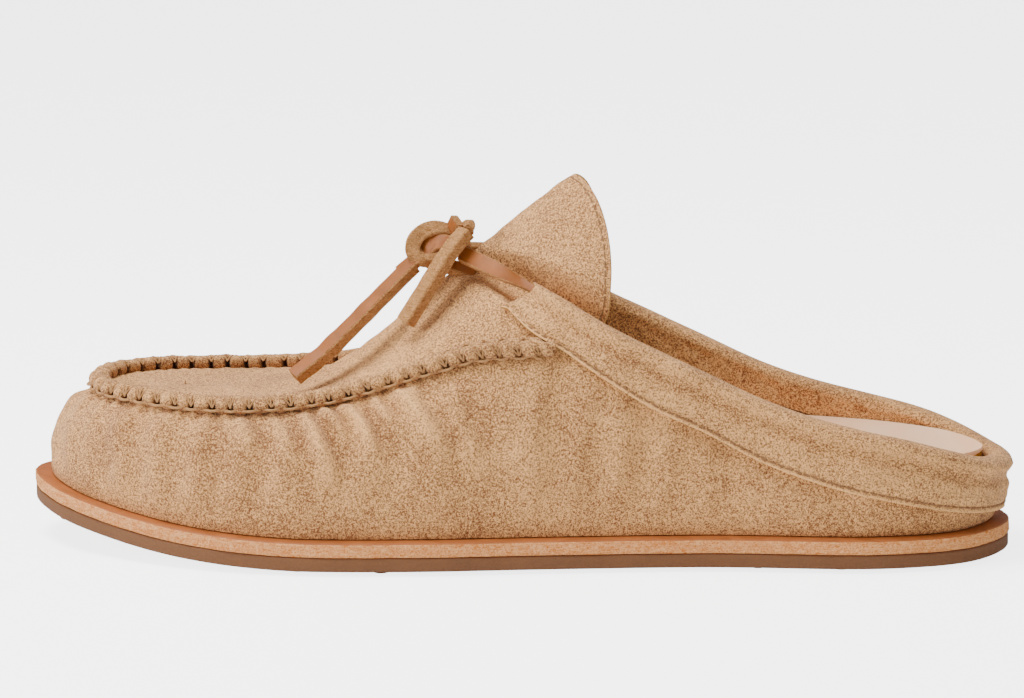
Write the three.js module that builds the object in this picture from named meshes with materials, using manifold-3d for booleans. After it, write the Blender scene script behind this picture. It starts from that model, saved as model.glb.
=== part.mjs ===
// A backless suede moccasin for the left foot, in millimetres, +Z up.
// The toe points to -X and the outer (lateral) side of the foot is at -Y.
// The origin is under the middle of the shoe, on the ground.
//
// Everything above the sole is a piece of leather laid on one smooth foot form.
// A place on that form is (p, t): p is the share of the way round the welt, from the back
// of the heel along the lateral side to the toe and back along the medial side, and t runs
// from 0 at the welt to 1 on the ridge over the instep. A depth d is measured outwards from it.
import * as THREE from "three";
import { mergeVertices } from "three/addons/utils/BufferGeometryUtils.js";
import Module from "manifold-3d";

const wasm = await Module();
wasm.setup();

// Overall sizes
const soleLength = 290;
const soleWidth = 102; // across the ball
const upperHeight = 100; // welt to tongue tip

// Sole
const studHeight = 1.2;
const studRadius = 3;
const studPitchX = 24;
const studPitchY = 15;
const studEdge = 4.8; // least distance from a stud's middle to the sole's edge
const outsoleThickness = 4.2;
const outsoleBevel = 0.9;
const midsoleThickness = 3.9;
const toeSpring = 10;
const weltWidth = 4.8; // how far the sole stands out past the upper

// Leather and board
const suede = 1.4;
const stiffener = 1;
const lining = 0.8;
const bandLeather = 1.3;
const boardThickness = 2;
const sockThickness = 1.2;
const footbedHeel = 10.5;
const footbedToe = 5;
const lastingMargin = 13;

// Lace and threads
const laceWidth = 4.8;
const laceThickness = 2.8;
const seamCordRadius = 2.3;
const threadRadius = 0.4;

const gap = 0.3; // between neighbours that touch
const slack = 0.5; // between pieces whose facets don't line up

// Depths of the layers of the upper
const suedeIn = -suede;
const stiffenerOut = suedeIn - gap;
const stiffenerIn = stiffenerOut - stiffener;
const liningOut = stiffenerIn - gap;
const liningIn = liningOut - lining;
const bandOut = slack + bandLeather;
const bandInnerOut = liningIn - slack * 1.5;
const bandInnerIn = bandInnerOut - bandLeather;

// Heights of the layers of the sole where it is flat
const outsoleTop = studHeight + outsoleThickness;
const midsoleBottom = outsoleTop + gap;
const weltTop = midsoleBottom + midsoleThickness;
const featherHeight = weltTop + gap;
const boardBottom = featherHeight + suede + gap;
const boardTop = boardBottom + boardThickness;
const footbedBottom = boardTop + gap;

// Colours
const suedeTan = material(0xb9946c, 0.95);
const suedeInside = material(0xa07e5f, 0.95);
const russetLeather = material(0xc08560, 0.5);
const footbedLeather = material(0xe2b08c, 0.6);
const edgeLeather = material(0xdba679, 0.85);
const gumRubber = material(0x82543a, 0.7);
const corkBrown = material(0xb08a5c, 0.9);
const fibreBoard = material(0xa9967c, 0.9);
const steelGrey = material(0x8c9094, 0.35, 1);
const stiffWhite = material(0xd8d2c4, 0.9);
const liningLeather = material(0xc9a27a, 0.7);
const threadTan = material(0xc4a283, 0.8);

function material(color, roughness, metalness = 0) {
  return new THREE.MeshStandardMaterial({ color, roughness, metalness });
}

// A smooth curve y(x) through rows of [x, ...values] that are sorted by x; column picks the value.
function curveThrough(rows, column = 1) {
  const slope = (i) => {
    const a = rows[Math.max(i - 1, 0)];
    const b = rows[Math.min(i + 1, rows.length - 1)];
    return (b[column] - a[column]) / (b[0] - a[0]);
  };
  return (x) => {
    if (x <= rows[0][0]) return rows[0][column];
    const last = rows.length - 1;
    if (x >= rows[last][0]) return rows[last][column];
    let i = 0;
    while (x > rows[i + 1][0]) i++;
    const width = rows[i + 1][0] - rows[i][0];
    const s = (x - rows[i][0]) / width;
    const h = 3 * s * s - 2 * s * s * s;
    return (
      rows[i][column] * (1 - h) +
      rows[i + 1][column] * h +
      slope(i) * width * s * (1 - s) * (1 - s) -
      slope(i + 1) * width * s * s * (1 - s)
    );
  };
}

const mix = THREE.MathUtils.lerp;
const smooth = THREE.MathUtils.smoothstep;

// Stations along the shoe are shares of its length: 0 at the heel, 1 at the toe.
const xAt = (station) => soleLength * (0.5 - station);
const stationAt = (x) => 0.5 - x / soleLength;
const mm = upperHeight / 100; // heights of the upper are written for upperHeight = 100

// How far the sole's curve lifts it off the ground
const springStart = 0.69;
const spring = (x) => toeSpring * Math.max(0, (stationAt(x) - springStart) / (1 - springStart)) ** 2;

// Outline of the sole: station, and distance from the middle as a share of the width
const outlinePoints = [
  [0, 0],
  [0.038, -0.235],
  [0.125, -0.348],
  [0.3, -0.368],
  [0.45, -0.426],
  [0.6, -0.495],
  [0.715, -0.51],
  [0.82, -0.451],
  [0.9, -0.338],
  [0.965, -0.191],
  [0.998, -0.005],
  [0.983, 0.172],
  [0.93, 0.32],
  [0.83, 0.436],
  [0.73, 0.47],
  [0.6, 0.412],
  [0.45, 0.324],
  [0.3, 0.304],
  [0.125, 0.338],
  [0.038, 0.23],
];
const outline = new THREE.CatmullRomCurve3(
  outlinePoints.map(([station, y]) => new THREE.Vector3(xAt(station), y * soleWidth, 0)),
  true,
);
outline.arcLengthDivisions = 600;
const perimeter = outline.getLength();

// Point of the outline moved inwards, and the outward direction there
function edgePoint(p, inset) {
  const at = outline.getPointAt(((p % 1) + 1) % 1);
  const along = outline.getTangentAt(((p % 1) + 1) % 1);
  const outward = new THREE.Vector3(-along.y, along.x, 0);
  return { at: at.addScaledVector(outward, -inset), outward };
}

// Shape of the foot form at stations along the welt.
// Station, rise and lean of the side off the welt, reach of the top off the ridge.
const lateralShape = [
  [0, 26, 14, 30],
  [0.15, 34, 4, 30],
  [0.35, 40, 2, 31],
  [0.5, 44, 2, 33],
  [0.62, 40, 3, 36],
  [0.75, 36, 4, 39],
  [0.88, 32, 3, 37],
  [1, 25, 1, 28],
];
const medialShape = [
  [0, 26, 14, 30],
  [0.15, 34, 4, 30],
  [0.35, 40, 6, 31],
  [0.5, 44, 5, 33],
  [0.62, 40, 5, 36],
  [0.75, 36, 4, 39],
  [0.88, 32, 3, 37],
  [1, 25, 1, 28],
];
// Station on the ridge that each station on the welt leans to
const ridgeStation = curveThrough([
  [0, 0.17],
  [0.15, 0.25],
  [0.35, 0.441],
  [0.43, 0.528],
  [0.52, 0.615],
  [0.62, 0.69],
  [0.75, 0.775],
  [0.88, 0.83],
  [1, 0.845],
]);
// Height of the ridge over the welt
const ridgeHeight = curveThrough([
  [0.17, 101],
  [0.25, 103],
  [0.4, 103],
  [0.441, 100.4],
  [0.48, 92.4],
  [0.54, 77.9],
  [0.6, 62.4],
  [0.64, 52.4],
  [0.68, 44.2],
  [0.72, 38.8],
  [0.78, 36.4],
  [0.845, 36.6],
]);
const ridgeSide = 4; // how far the ridge lies towards the big toe, at the toe

const shapeOf = [lateralShape, medialShape].map((rows) => [1, 2, 3].map((c) => curveThrough(rows, c)));

function ridgePoint(station) {
  const x = xAt(station);
  return new THREE.Vector3(
    x,
    ridgeSide * smooth(station, 0.45, 0.84),
    featherHeight + ridgeHeight(station) * mm,
  );
}

// The four control points of the line of the foot form at p
const lineCache = new Map();
function formLine(p) {
  if (lineCache.has(p)) return lineCache.get(p);
  const { at: foot, outward } = edgePoint(p, weltWidth);
  const station = stationAt(foot.x);
  foot.z = featherHeight + spring(foot.x);
  const round = ((p % 1) + 1) % 1;
  // both sides share one shape at the toe and at the heel
  const side = smooth(Math.sin(2 * Math.PI * round), -0.25, 0.25);
  const [rise, lean, reach] = [0, 1, 2].map((c) =>
    mix(shapeOf[1][c](station), shapeOf[0][c](station), side),
  );
  const top = ridgePoint(ridgeStation(station));
  const out = new THREE.Vector3(foot.x - top.x, foot.y - top.y, 0);
  const half = out.length();
  out.normalize();
  const low = foot.clone().addScaledVector(outward, lean);
  low.z += rise * mm;
  const high = top.clone().addScaledVector(out, Math.min(reach, half * 0.9));
  const line = new THREE.CubicBezierCurve3(foot, low, high, top);
  lineCache.set(p, line);
  return line;
}

// The outward normal of the foot form
const step = 1e-3;
function formNormal(p, t) {
  const t0 = Math.max(0, t - step);
  const t1 = Math.min(1, t + step);
  const up = formLine(p).getPoint(t1).sub(formLine(p).getPoint(t0));
  const along = formLine(p + step)
    .getPoint(t)
    .sub(formLine(p - step).getPoint(t));
  return along.cross(up).normalize().negate();
}

function onForm(p, t, depth) {
  return formLine(p).getPoint(t).addScaledVector(formNormal(p, t), depth);
}

// The t at which the line at p reaches a height that may change along the shoe
function crossing(p, heightAt) {
  let low = 0;
  let high = 1;
  for (let i = 0; i < 30; i++) {
    const middle = (low + high) / 2;
    const at = formLine(p).getPoint(middle);
    if (at.z < heightAt(stationAt(at.x))) low = middle;
    else high = middle;
  }
  return (low + high) / 2;
}

// Distance along the line at p turned into a change of t
function lineShare(p, t, distance) {
  const length = formLine(p)
    .getPoint(Math.min(1, t + step))
    .distanceTo(formLine(p).getPoint(Math.max(0, t - step)));
  return (distance * 2 * step) / length;
}

// Top edge of the collar, over the welt
const collarTop = curveThrough([
  [0.005, 19.6],
  [0.022, 20.4],
  [0.055, 23.8],
  [0.103, 27.9],
  [0.153, 31.2],
  [0.203, 35],
  [0.255, 40.4],
  [0.307, 47.4],
  [0.357, 54.1],
  [0.407, 61],
  [0.448, 67.4],
  [0.49, 72.8],
]);
// Lower, stitched edge of the collar, over the welt
const collarFoot = curveThrough([
  [0.007, 3.6],
  [0.043, 5.8],
  [0.101, 9.4],
  [0.172, 14.2],
  [0.243, 21.1],
  [0.304, 29.8],
  [0.354, 36.4],
  [0.405, 45],
  [0.462, 55.9],
  [0.509, 65.8],
]);
const collarTopAt = (station) => featherHeight + collarTop(station) * mm;
const collarFootAt = (station) => featherHeight + collarFoot(station) * mm;

// Where the moccasin seam runs, as t at stations of the welt
const seamLine = curveThrough([
  [0.4, 0.43],
  [0.45, 0.491],
  [0.52, 0.575],
  [0.62, 0.62],
  [0.75, 0.6],
  [0.88, 0.62],
  [1, 0.65],
]);
const welt = (p) => stationAt(edgePoint(p, weltWidth).at.x);
const seamAt = (p) => seamLine(welt(p));

// p on one side of the shoe at a station of the welt: side is -1 lateral, 1 medial
function roundTo(station, side) {
  let low = 0;
  let high = 0.47;
  const find = (share) => (side < 0 ? share : 1 - share);
  for (let i = 0; i < 30; i++) {
    const middle = (low + high) / 2;
    if (welt(find(middle)) < station) low = middle;
    else high = middle;
  }
  return find((low + high) / 2);
}

const sideSeam = 0.535; // station of the seam between vamp and quarter
const quarterStep = 0.436; // where the quarter's edge climbs from the seam to the collar
const tongueLine = 0.442; // where the tongue is hinged to the apron
const tongueTip = 0.352; // the tongue's edge on the ridge
const tongueSide = 0.397; // and where it goes in under the collar
const collarFrontTop = 0.431;
const collarFrontFoot = 0.464;
const seamEnd = 0.459; // where the moccasin seam meets the collar

// ---- mesh building

const range = (n) => Array.from({ length: n + 1 }, (_, i) => i / n);
const between = (a, b, n) => range(n).map((s) => mix(a, b, s));

// A closed solid from columns of outer and inner points, which face each other.
// A sheet whose last column is folded onto itself has no edge there.
function shell(columns, folded = false) {
  const rows = columns[0].outer.length;
  const points = columns.flatMap((c) => [...c.outer, ...c.inner]);
  const outer = (i, k) => i * 2 * rows + k;
  const inner = (i, k) => outer(i, k) + rows;
  const faces = [];
  const quad = (a, b, c, d) => faces.push(a, b, c, a, c, d);
  for (let i = 0; i + 1 < columns.length; i++) {
    for (let k = 0; k + 1 < rows; k++) {
      quad(outer(i, k), outer(i, k + 1), outer(i + 1, k + 1), outer(i + 1, k));
      quad(inner(i, k), inner(i + 1, k), inner(i + 1, k + 1), inner(i, k + 1));
    }
    quad(outer(i, 0), outer(i + 1, 0), inner(i + 1, 0), inner(i, 0));
    quad(outer(i + 1, rows - 1), outer(i, rows - 1), inner(i, rows - 1), inner(i + 1, rows - 1));
  }
  const last = columns.length - 1;
  for (let k = 0; k + 1 < rows; k++) {
    quad(outer(0, k), inner(0, k), inner(0, k + 1), outer(0, k + 1));
    if (!folded) quad(outer(last, k), outer(last, k + 1), inner(last, k + 1), inner(last, k));
  }
  return closedGeometry(points, faces);
}

// Merges points that meet, drops faces without area and turns the faces outwards
function closedGeometry(points, faces) {
  const loose = new THREE.BufferGeometry().setFromPoints(points).setIndex(faces);
  const merged = mergeVertices(loose, 1e-3);
  const kept = [];
  const index = merged.index.array;
  for (let i = 0; i < index.length; i += 3) {
    const [a, b, c] = index.slice(i, i + 3);
    if (a !== b && b !== c && c !== a) kept.push(a, b, c);
  }
  merged.setIndex(kept);
  if (solidOf(merged).volume() < 0) merged.setIndex(kept.reverse());
  return merged;
}

function solidOf(geometry) {
  const plain = geometry.clone();
  plain.deleteAttribute("normal");
  plain.deleteAttribute("uv");
  const merged = mergeVertices(plain, 1e-3);
  return new wasm.Manifold(
    new wasm.Mesh({
      numProp: 3,
      vertProperties: new Float32Array(merged.attributes.position.array),
      triVerts: new Uint32Array(merged.index.array),
    }),
  );
}

function geometryOf(solid) {
  const mesh = solid.getMesh();
  return new THREE.BufferGeometry()
    .setAttribute("position", new THREE.BufferAttribute(mesh.vertProperties, mesh.numProp))
    .setIndex(new THREE.BufferAttribute(mesh.triVerts, 1));
}

// A round section pushed along a curve
function tube(curve, radius, sides, steps) {
  const section = new THREE.Shape(
    range(sides - 1).map((_, i) => {
      const angle = (2 * Math.PI * i) / sides;
      return new THREE.Vector2(radius * Math.cos(angle), radius * Math.sin(angle));
    }),
  );
  return new THREE.ExtrudeGeometry(section, { steps, bevelEnabled: false, extrudePath: curve });
}

// A flat plate inside the outline: edge gives the top and bottom point of its rim at p,
// and topAt and bottomAt the heights inside it
const plateRows = 20;
const plateColumns = 5;
const plateTip = 40; // a plate narrower than this, near its ends, has less of its hollow
function plate(edge, topAt, bottomAt) {
  const columns = range(plateRows).map((s) => {
    const p = (1 - Math.cos(Math.PI * s)) / 4; // closer together at the heel and the toe
    const [lateral, medial] = [edge(p), edge((1 - p) % 1)];
    const across = (key, heightAt) => {
      const hollow = smooth(lateral[key].distanceTo(medial[key]), 0, plateTip);
      return range(plateColumns).map((w, k) => {
        const at = lateral[key].clone().lerp(medial[key], w);
        if (k > 0 && k < plateColumns) at.z = mix(at.z, heightAt(at.x, 2 * w - 1), hollow);
        return at;
      });
    };
    return { outer: across("top", topAt), inner: across("bottom", bottomAt) };
  });
  return shell(columns);
}

// ---- sole

function flatPlate(inset, bottom, top, bevel = 0) {
  const edge = (p) => {
    const low = edgePoint(p, inset + bevel).at;
    const high = edgePoint(p, inset).at;
    low.z = bottom + spring(low.x);
    high.z = top + spring(high.x);
    return { top: high, bottom: low };
  };
  return plate(
    edge,
    (x) => top + spring(x),
    (x) => bottom + spring(x),
  );
}

function outsole() {
  let body = solidOf(flatPlate(0, studHeight, outsoleTop, outsoleBevel));
  const root = outsoleThickness / 2; // how far a stud's root reaches into the plate
  const rows = Math.ceil(soleWidth / 2 / studPitchY);
  const ranks = Math.ceil(soleLength / 2 / studPitchX) * 2;
  for (let i = -ranks; i <= ranks; i++) {
    for (let j = -rows; j <= rows; j++) {
      if ((i + j) % 2) continue;
      const at = new THREE.Vector3((i * studPitchX) / 2, j * studPitchY, 0);
      if (!insideOutline(at, studEdge)) continue;
      const stud = new THREE.CylinderGeometry(studRadius, studRadius * 0.8, studHeight + root, 6);
      stud.rotateX(Math.PI / 2);
      stud.translate(at.x, at.y, (studHeight + root) / 2 + spring(at.x));
      body = body.add(solidOf(stud));
    }
  }
  return geometryOf(body);
}

// True if a point is inside the outline by at least the margin
function insideOutline(at, margin) {
  const edges = range(240).map((p) => edgePoint(p, 0));
  const nearest = edges.reduce((a, b) => (a.at.distanceTo(at) < b.at.distanceTo(at) ? a : b));
  return at.clone().sub(nearest.at).dot(nearest.outward) < -margin;
}

const midsole = () => flatPlate(0, midsoleBottom, weltTop);
const boardInset = weltWidth - liningIn + slack * 2;
const insoleBoard = () => flatPlate(boardInset, boardBottom, boardTop);

const shankLength = 95;
const shankWidth = 16;
const shankThickness = 0.9;
const shankStation = 0.33;
function shankSolid(grow) {
  const width = shankWidth + 2 * grow;
  const shape = new THREE.Shape();
  const half = shankLength / 2 + grow - width / 2;
  shape.absarc(half, 0, width / 2, -Math.PI / 2, Math.PI / 2);
  shape.absarc(-half, 0, width / 2, Math.PI / 2, (3 * Math.PI) / 2);
  const bar = new THREE.ExtrudeGeometry(shape, {
    depth: shankThickness + grow * 4,
    bevelEnabled: false,
    curveSegments: 8,
  });
  bar.translate(xAt(shankStation), 0, featherHeight + gap - grow * 2);
  return solidOf(bar);
}
const shank = () => geometryOf(shankSolid(0));

// Cork filler between the turned-in margins of the upper, with a slot for the shank
function filler() {
  const body = solidOf(flatPlate(weltWidth + lastingMargin + slack * 3, featherHeight, boardBottom - gap));
  return geometryOf(body.subtract(shankSolid(gap * 2)));
}

// Height of the footbed's top over its bottom: across runs from -1 lateral to 1 medial
const footbedMiddle = curveThrough([
  [0, footbedHeel],
  [0.2, footbedHeel],
  [0.45, footbedHeel * 0.95],
  [0.62, (footbedHeel + footbedToe) / 2],
  [0.75, footbedToe],
  [1, footbedToe],
]);
const footbedRimLateral = curveThrough([
  [0, 4.5],
  [0.12, 6.5],
  [0.3, 6.5],
  [0.5, 4],
  [0.7, 1.5],
  [1, 0.8],
]);
const footbedRimMedial = curveThrough([
  [0, 4.5],
  [0.12, 7],
  [0.3, 10.5],
  [0.45, 11.5],
  [0.6, 6],
  [0.72, 1.5],
  [1, 0.8],
]);
function footbedTop(x, across) {
  const station = stationAt(x);
  const rim = (across < 0 ? footbedRimLateral : footbedRimMedial)(station);
  return footbedBottom + spring(x) + footbedMiddle(station) + rim * Math.abs(across) ** 3;
}

// A point on the inside of the upper at a height
const footbedDepth = bandInnerIn - slack;
function insideAt(p, height, depth) {
  let low = 0;
  let high = 0.9;
  for (let i = 0; i < 30; i++) {
    const middle = (low + high) / 2;
    if (onForm(p, middle, depth).z < height) low = middle;
    else high = middle;
  }
  return onForm(p, (low + high) / 2, depth);
}
const rimSide = (p) => (p < 0.5 ? -1 : 1);
const rimBlend = (p) => Math.min(1, Math.abs(Math.sin(2 * Math.PI * p)) * 2.5);
function rimHeight(p) {
  const x = edgePoint(p, boardInset).at.x;
  const own = footbedTop(x, rimSide(p));
  const other = footbedTop(x, -rimSide(p));
  return mix((own + other) / 2, own, rimBlend(p));
}
function footbed() {
  const edge = (p) => {
    const low = edgePoint(p, boardInset + slack * 3).at;
    low.z = footbedBottom + spring(low.x);
    return { top: insideAt(p, rimHeight(p), footbedDepth), bottom: low };
  };
  return plate(edge, footbedTop, (x) => footbedBottom + spring(x));
}
function sock() {
  const edge = (p) => {
    const low = insideAt(p, rimHeight(p) + gap, footbedDepth);
    const high = insideAt(p, rimHeight(p) + gap + sockThickness, footbedDepth);
    return { top: high, bottom: low };
  };
  return plate(
    edge,
    (x, w) => footbedTop(x, w) + gap + sockThickness,
    (x, w) => footbedTop(x, w) + gap,
  );
}

// ---- upper

// One column of a wall: rows of t at p, between two depths
function wall(p, rows, outer, inner) {
  return {
    outer: rows.map((t) => onForm(p, t, outer)),
    inner: rows.map((t) => onForm(p, t, inner)),
  };
}

const heelSeam = gap; // half the gap between the quarters at the heel
// A wall with its lower edge turned in under the insole board
function lastedWall(p, rows) {
  const column = wall(p, rows, 0, suedeIn);
  const turned = (inset, height) => {
    const { at } = edgePoint(p, weltWidth + inset);
    // behind the arch each side's margin keeps to its own half
    const side = Math.sin(2 * Math.PI * p) < 0 ? 1 : -1;
    if (at.x > soleLength / 3) at.y = side * Math.max(heelSeam, side * at.y);
    at.z = featherHeight + height + spring(at.x);
    return at;
  };
  column.outer[0] = turned(0.3, 0);
  column.inner[0] = turned(suede, suede);
  column.outer.unshift(turned(lastingMargin, 0));
  column.inner.unshift(turned(lastingMargin, suede));
  return column;
}

const wallRows = 5;
const wallStep = 12; // longest step along the walls, about
const stepP = 1 / Math.round(perimeter / wallStep);
// p values on the common grid between two ends, with the ends themselves
function grid(from, to) {
  const inner = [];
  for (let i = Math.ceil(from / stepP + 0.25); i * stepP < to - stepP * 0.25; i++) inner.push(i * stepP);
  return [from, ...inner, to];
}
const round = (distance) => distance / perimeter;
const onGrid = (p) => Math.round(p / stepP) * stepP;

const vampFrom = roundTo(sideSeam, -1) + round(gap);
const vampTo = roundTo(sideSeam, 1) - round(gap);
const seamGap = 0.6; // half the gap in which the vamp and the apron meet

function vamp() {
  const top = (p) => seamAt(p) - lineShare(p, seamAt(p), seamGap);
  return shell(grid(vampFrom, vampTo).map((p) => lastedWall(p, between(0, top(p), wallRows))));
}

// Height of the collar's inside edge parts under its top
const laceDrop = bandLeather + laceWidth + slack * 3;
function quarterTop(p) {
  const station = welt(p);
  if (station > quarterStep) return seamAt(p) - lineShare(p, seamAt(p), seamGap);
  const top = crossing(p, collarTopAt);
  const dip = 8 * smooth(station, quarterStep - 0.05, quarterStep); // room for the lace to come out
  return top - lineShare(p, top, laceDrop + slack + dip);
}
function quarter(side) {
  const front = roundTo(sideSeam, side);
  const climb = roundTo(quarterStep, side);
  const jump = [climb - side * round(0.5), climb + side * round(0.5)];
  const heel = side < 0 ? round(heelSeam) : 1 - round(heelSeam);
  const ends =
    side < 0
      ? [...grid(heel, jump[1]).slice(0, -1), jump[0], jump[1], ...grid(jump[1], front).slice(1)]
      : [...grid(front, jump[1]).slice(0, -1), jump[1], jump[0], ...grid(jump[0], heel).slice(1)];
  const columns = [...new Set(ends)].sort((a, b) => a - b);
  return shell(columns.map((p) => lastedWall(p, between(0, quarterTop(p), wallRows))));
}

// t at which the inside layers start, just over the turned-in margin
const innerFoot = (p, depth) => {
  let low = 0;
  let high = 0.3;
  const floor = boardBottom + slack * 2 + spring(edgePoint(p, weltWidth).at.x);
  for (let i = 0; i < 20; i++) {
    const middle = (low + high) / 2;
    if (onForm(p, middle, depth).z < floor) low = middle;
    else high = middle;
  }
  return (low + high) / 2;
};
const layer = (p, top, outer, inner) => wall(p, between(innerFoot(p, inner), top, wallRows), outer, inner);

function vampLining() {
  return shell(
    grid(vampFrom, vampTo).map((p) => layer(p, seamAt(p) - lineShare(p, seamAt(p), 2), liningOut, liningIn)),
  );
}
function quarterLining() {
  const from = roundTo(sideSeam, 1) + round(gap) - 1;
  const to = roundTo(sideSeam, -1) - round(gap);
  const top = (p) => {
    const station = welt(p);
    const blend = smooth(station, quarterStep - 0.06, quarterStep - 0.01);
    const high = crossing(p, collarTopAt);
    const lowest = seamAt(p) - lineShare(p, seamAt(p), 2);
    return mix(high - lineShare(p, high, laceDrop + slack), lowest, blend);
  };
  return shell(grid(from, to).map((p) => layer(p, top(p), liningOut, liningIn)));
}
const puffEnd = 0.84;
function toePuff() {
  return shell(
    grid(onGrid(roundTo(puffEnd, -1)), onGrid(roundTo(puffEnd, 1))).map((p) =>
      layer(p, seamAt(p) * 0.85, stiffenerOut, stiffenerIn),
    ),
  );
}
const counterEnd = 0.24;
function heelCounter() {
  return shell(
    grid(roundTo(counterEnd, 1) - 1, roundTo(counterEnd, -1)).map((p) => {
      const high = crossing(p, collarTopAt);
      const top = high - lineShare(p, high, laceDrop + slack + 1);
      return layer(p, top, stiffenerOut, stiffenerIn);
    }),
  );
}

// Apron: the top of the moccasin inside the seam, split at the ridge into two equal halves of the mesh
const apronRows = 5;
// placeAt gives p on one side for a row of a column: w is 0 at the low edge and 1 on the ridge
function ridgeColumn(placeAt, lowAt, outerAt, innerAt) {
  const half = (side, depthAt) =>
    range(apronRows).map((w) => {
      const p = placeAt(side, w);
      const t = mix(lowAt(p), 1, w);
      return onForm(p, t, depthAt(p, t));
    });
  const across = (depthAt) => [...half(-1, depthAt), ...half(1, depthAt).slice(0, -1).reverse()];
  return { outer: across(outerAt), inner: across(innerAt) };
}
// The leather over the instep passes inside the collar: how deep it lies at a place
const tuckDepth = bandInnerIn - 1.6;
function tuck(p, t) {
  const top = crossing(p, collarTopAt);
  const share = lineShare(p, top, 1);
  const up = smooth(t, top - share, top + 15 * share);
  const ahead = smooth(welt(p), 0.447, 0.476);
  return tuckDepth * (1 - up) * (1 - ahead);
}

const apronStart = 0.9; // station where the apron's sides give way to its round front
function apronColumns(outer, inner, inset) {
  const low = (p) => seamAt(p) + lineShare(p, seamAt(p), seamGap + inset);
  const column = (placeAt) =>
    ridgeColumn(
      placeAt,
      low,
      (p, t) => tuck(p, t) + outer,
      (p, t) => tuck(p, t) + inner,
    );
  const along = between(tongueLine + 0.004, apronStart, 12).slice(0, -1);
  return [
    ...along.map((station) => column((side) => roundTo(station, side))),
    ...range(6).map((s) => column((side) => mix(roundTo(apronStart, side), 0.5, s))),
  ];
}
const apron = () => shell(apronColumns(0, suedeIn, 0), true);
const plugLiningOut = suedeIn - gap * 1.65; // the lining under the apron and the tongue
const apronLining = () => shell(apronColumns(plugLiningOut, plugLiningOut - lining, 2), true);

// Tongue: its sides dip inside the collar
const tongueWing = 3.5; // how far the tongue's sides reach down behind the collar's edge
function tongueColumns(outer, inner, trim) {
  const low = (p) => {
    const top = crossing(p, collarTopAt);
    return top - lineShare(p, top, tongueWing - trim);
  };
  const edge = (w) => mix(tongueSide, tongueTip, w) + trim / soleLength;
  return range(7).map((s) =>
    ridgeColumn(
      (side, w) => roundTo(mix(edge(w), tongueLine - 0.004, s), side),
      low,
      (p, t) => tuck(p, t) + outer,
      (p, t) => tuck(p, t) + inner,
    ),
  );
}
const tongue = () => shell(tongueColumns(0, suedeIn, 0));
const tongueLining = () => shell(tongueColumns(plugLiningOut, plugLiningOut - lining, 0));

// ---- collar

const collarSteps = 38;
// the front ends curve the most, so they get steps of half the length
const collarGrid = range(collarSteps * 2)
  .filter((s, i) => i < 4 || i > collarSteps * 2 - 4 || i % 2 === 0);
// Place on the collar: s runs from its lateral front end round the heel to the medial one
function collarPlace(s) {
  const side = s < 0.5 ? -1 : 1;
  const share = Math.abs(2 * s - 1); // 1 at the front ends, 0 at the heel
  const front = roundTo(collarFrontTop, side);
  const frontFoot = roundTo(collarFrontFoot, side);
  const travel = side < 0 ? front : 1 - front;
  const shift = (side < 0 ? frontFoot : 1 - frontFoot) - travel;
  const p = travel * share;
  const footP = p + shift * smooth(share, 0.55, 1);
  const signed = (value) => (side < 0 ? value : -value);
  return { top: signed(p), foot: signed(footP) };
}
const innerLeg = 11; // length of the collar's inside leg
function collarColumn(s) {
  const place = collarPlace(s);
  const topT = crossing(place.top, collarTopAt);
  const footT = crossing(place.foot, collarFootAt);
  const lineT = (distance) => topT - lineShare(place.top, topT, distance);
  const bend = (bandOut - bandInnerIn) / 2;
  const shoulder = lineT(bend * 0.9);
  const leg = (depth) =>
    between(0, 1, 2).map((w) => onForm(mix(place.foot, place.top, w), mix(footT, shoulder, w), depth));
  const middle = (bandOut + bandInnerIn) / 2;
  const arch = (radius, lift) =>
    [1, 2, 3].map((k) => {
      const angle = (Math.PI * k) / 4;
      const up = lineT(bend * 0.9) + lineShare(place.top, topT, lift * Math.sin(angle));
      return onForm(place.top, up, middle + radius * Math.cos(angle));
    });
  const floor = insideFloor(place.top);
  const inner = (depth) =>
    [0, 0.5, 1].map((w) => onForm(place.top, mix(shoulder, Math.max(floor, lineT(innerLeg)), w), depth));
  return {
    outer: [...leg(bandOut), ...arch(bend, bend * 0.9), ...inner(bandInnerIn)],
    inner: [...leg(slack), ...arch(bend - bandLeather, bend * 0.9 - bandLeather), ...inner(bandInnerOut)],
  };
}
// t under which the inside leg would meet the insole board
const insideFloor = (p) => crossing(p, (station) => footbedBottom + 3 + spring(xAt(station)));
const collar = () => shell(collarGrid.map(collarColumn));

// ---- lace

// The lace lies flat against the side in the fold of the collar, and comes out at its front ends
function laceSection(at, flat, wide) {
  const half = laceWidth / 2;
  const thick = laceThickness / 2;
  const corner = (a, b) => at.clone().addScaledVector(wide, a).addScaledVector(flat, b);
  return {
    outer: [corner(-half, thick), corner(half, thick)],
    inner: [corner(-half, -thick), corner(half, -thick)],
  };
}
const knotStation = 0.579;
const knotLift = 10; // knot's middle over the ridge
const knotSide = -3;
const knotAt = ridgePoint(knotStation);
knotAt.y = knotSide;
knotAt.z += knotLift * mm;
function laceTunnel(s) {
  const place = collarPlace(s);
  const topT = crossing(place.top, collarTopAt);
  const t = topT - lineShare(place.top, topT, bandLeather + slack * 2 + laceWidth / 2);
  const middle = (bandOut + bandInnerIn) / 2;
  return {
    at: onForm(place.top, t, middle),
    flat: formNormal(place.top, t),
    wide: formLine(place.top).getTangent(t),
  };
}
const laceRun = 6; // sections between the collar and the knot
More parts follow.
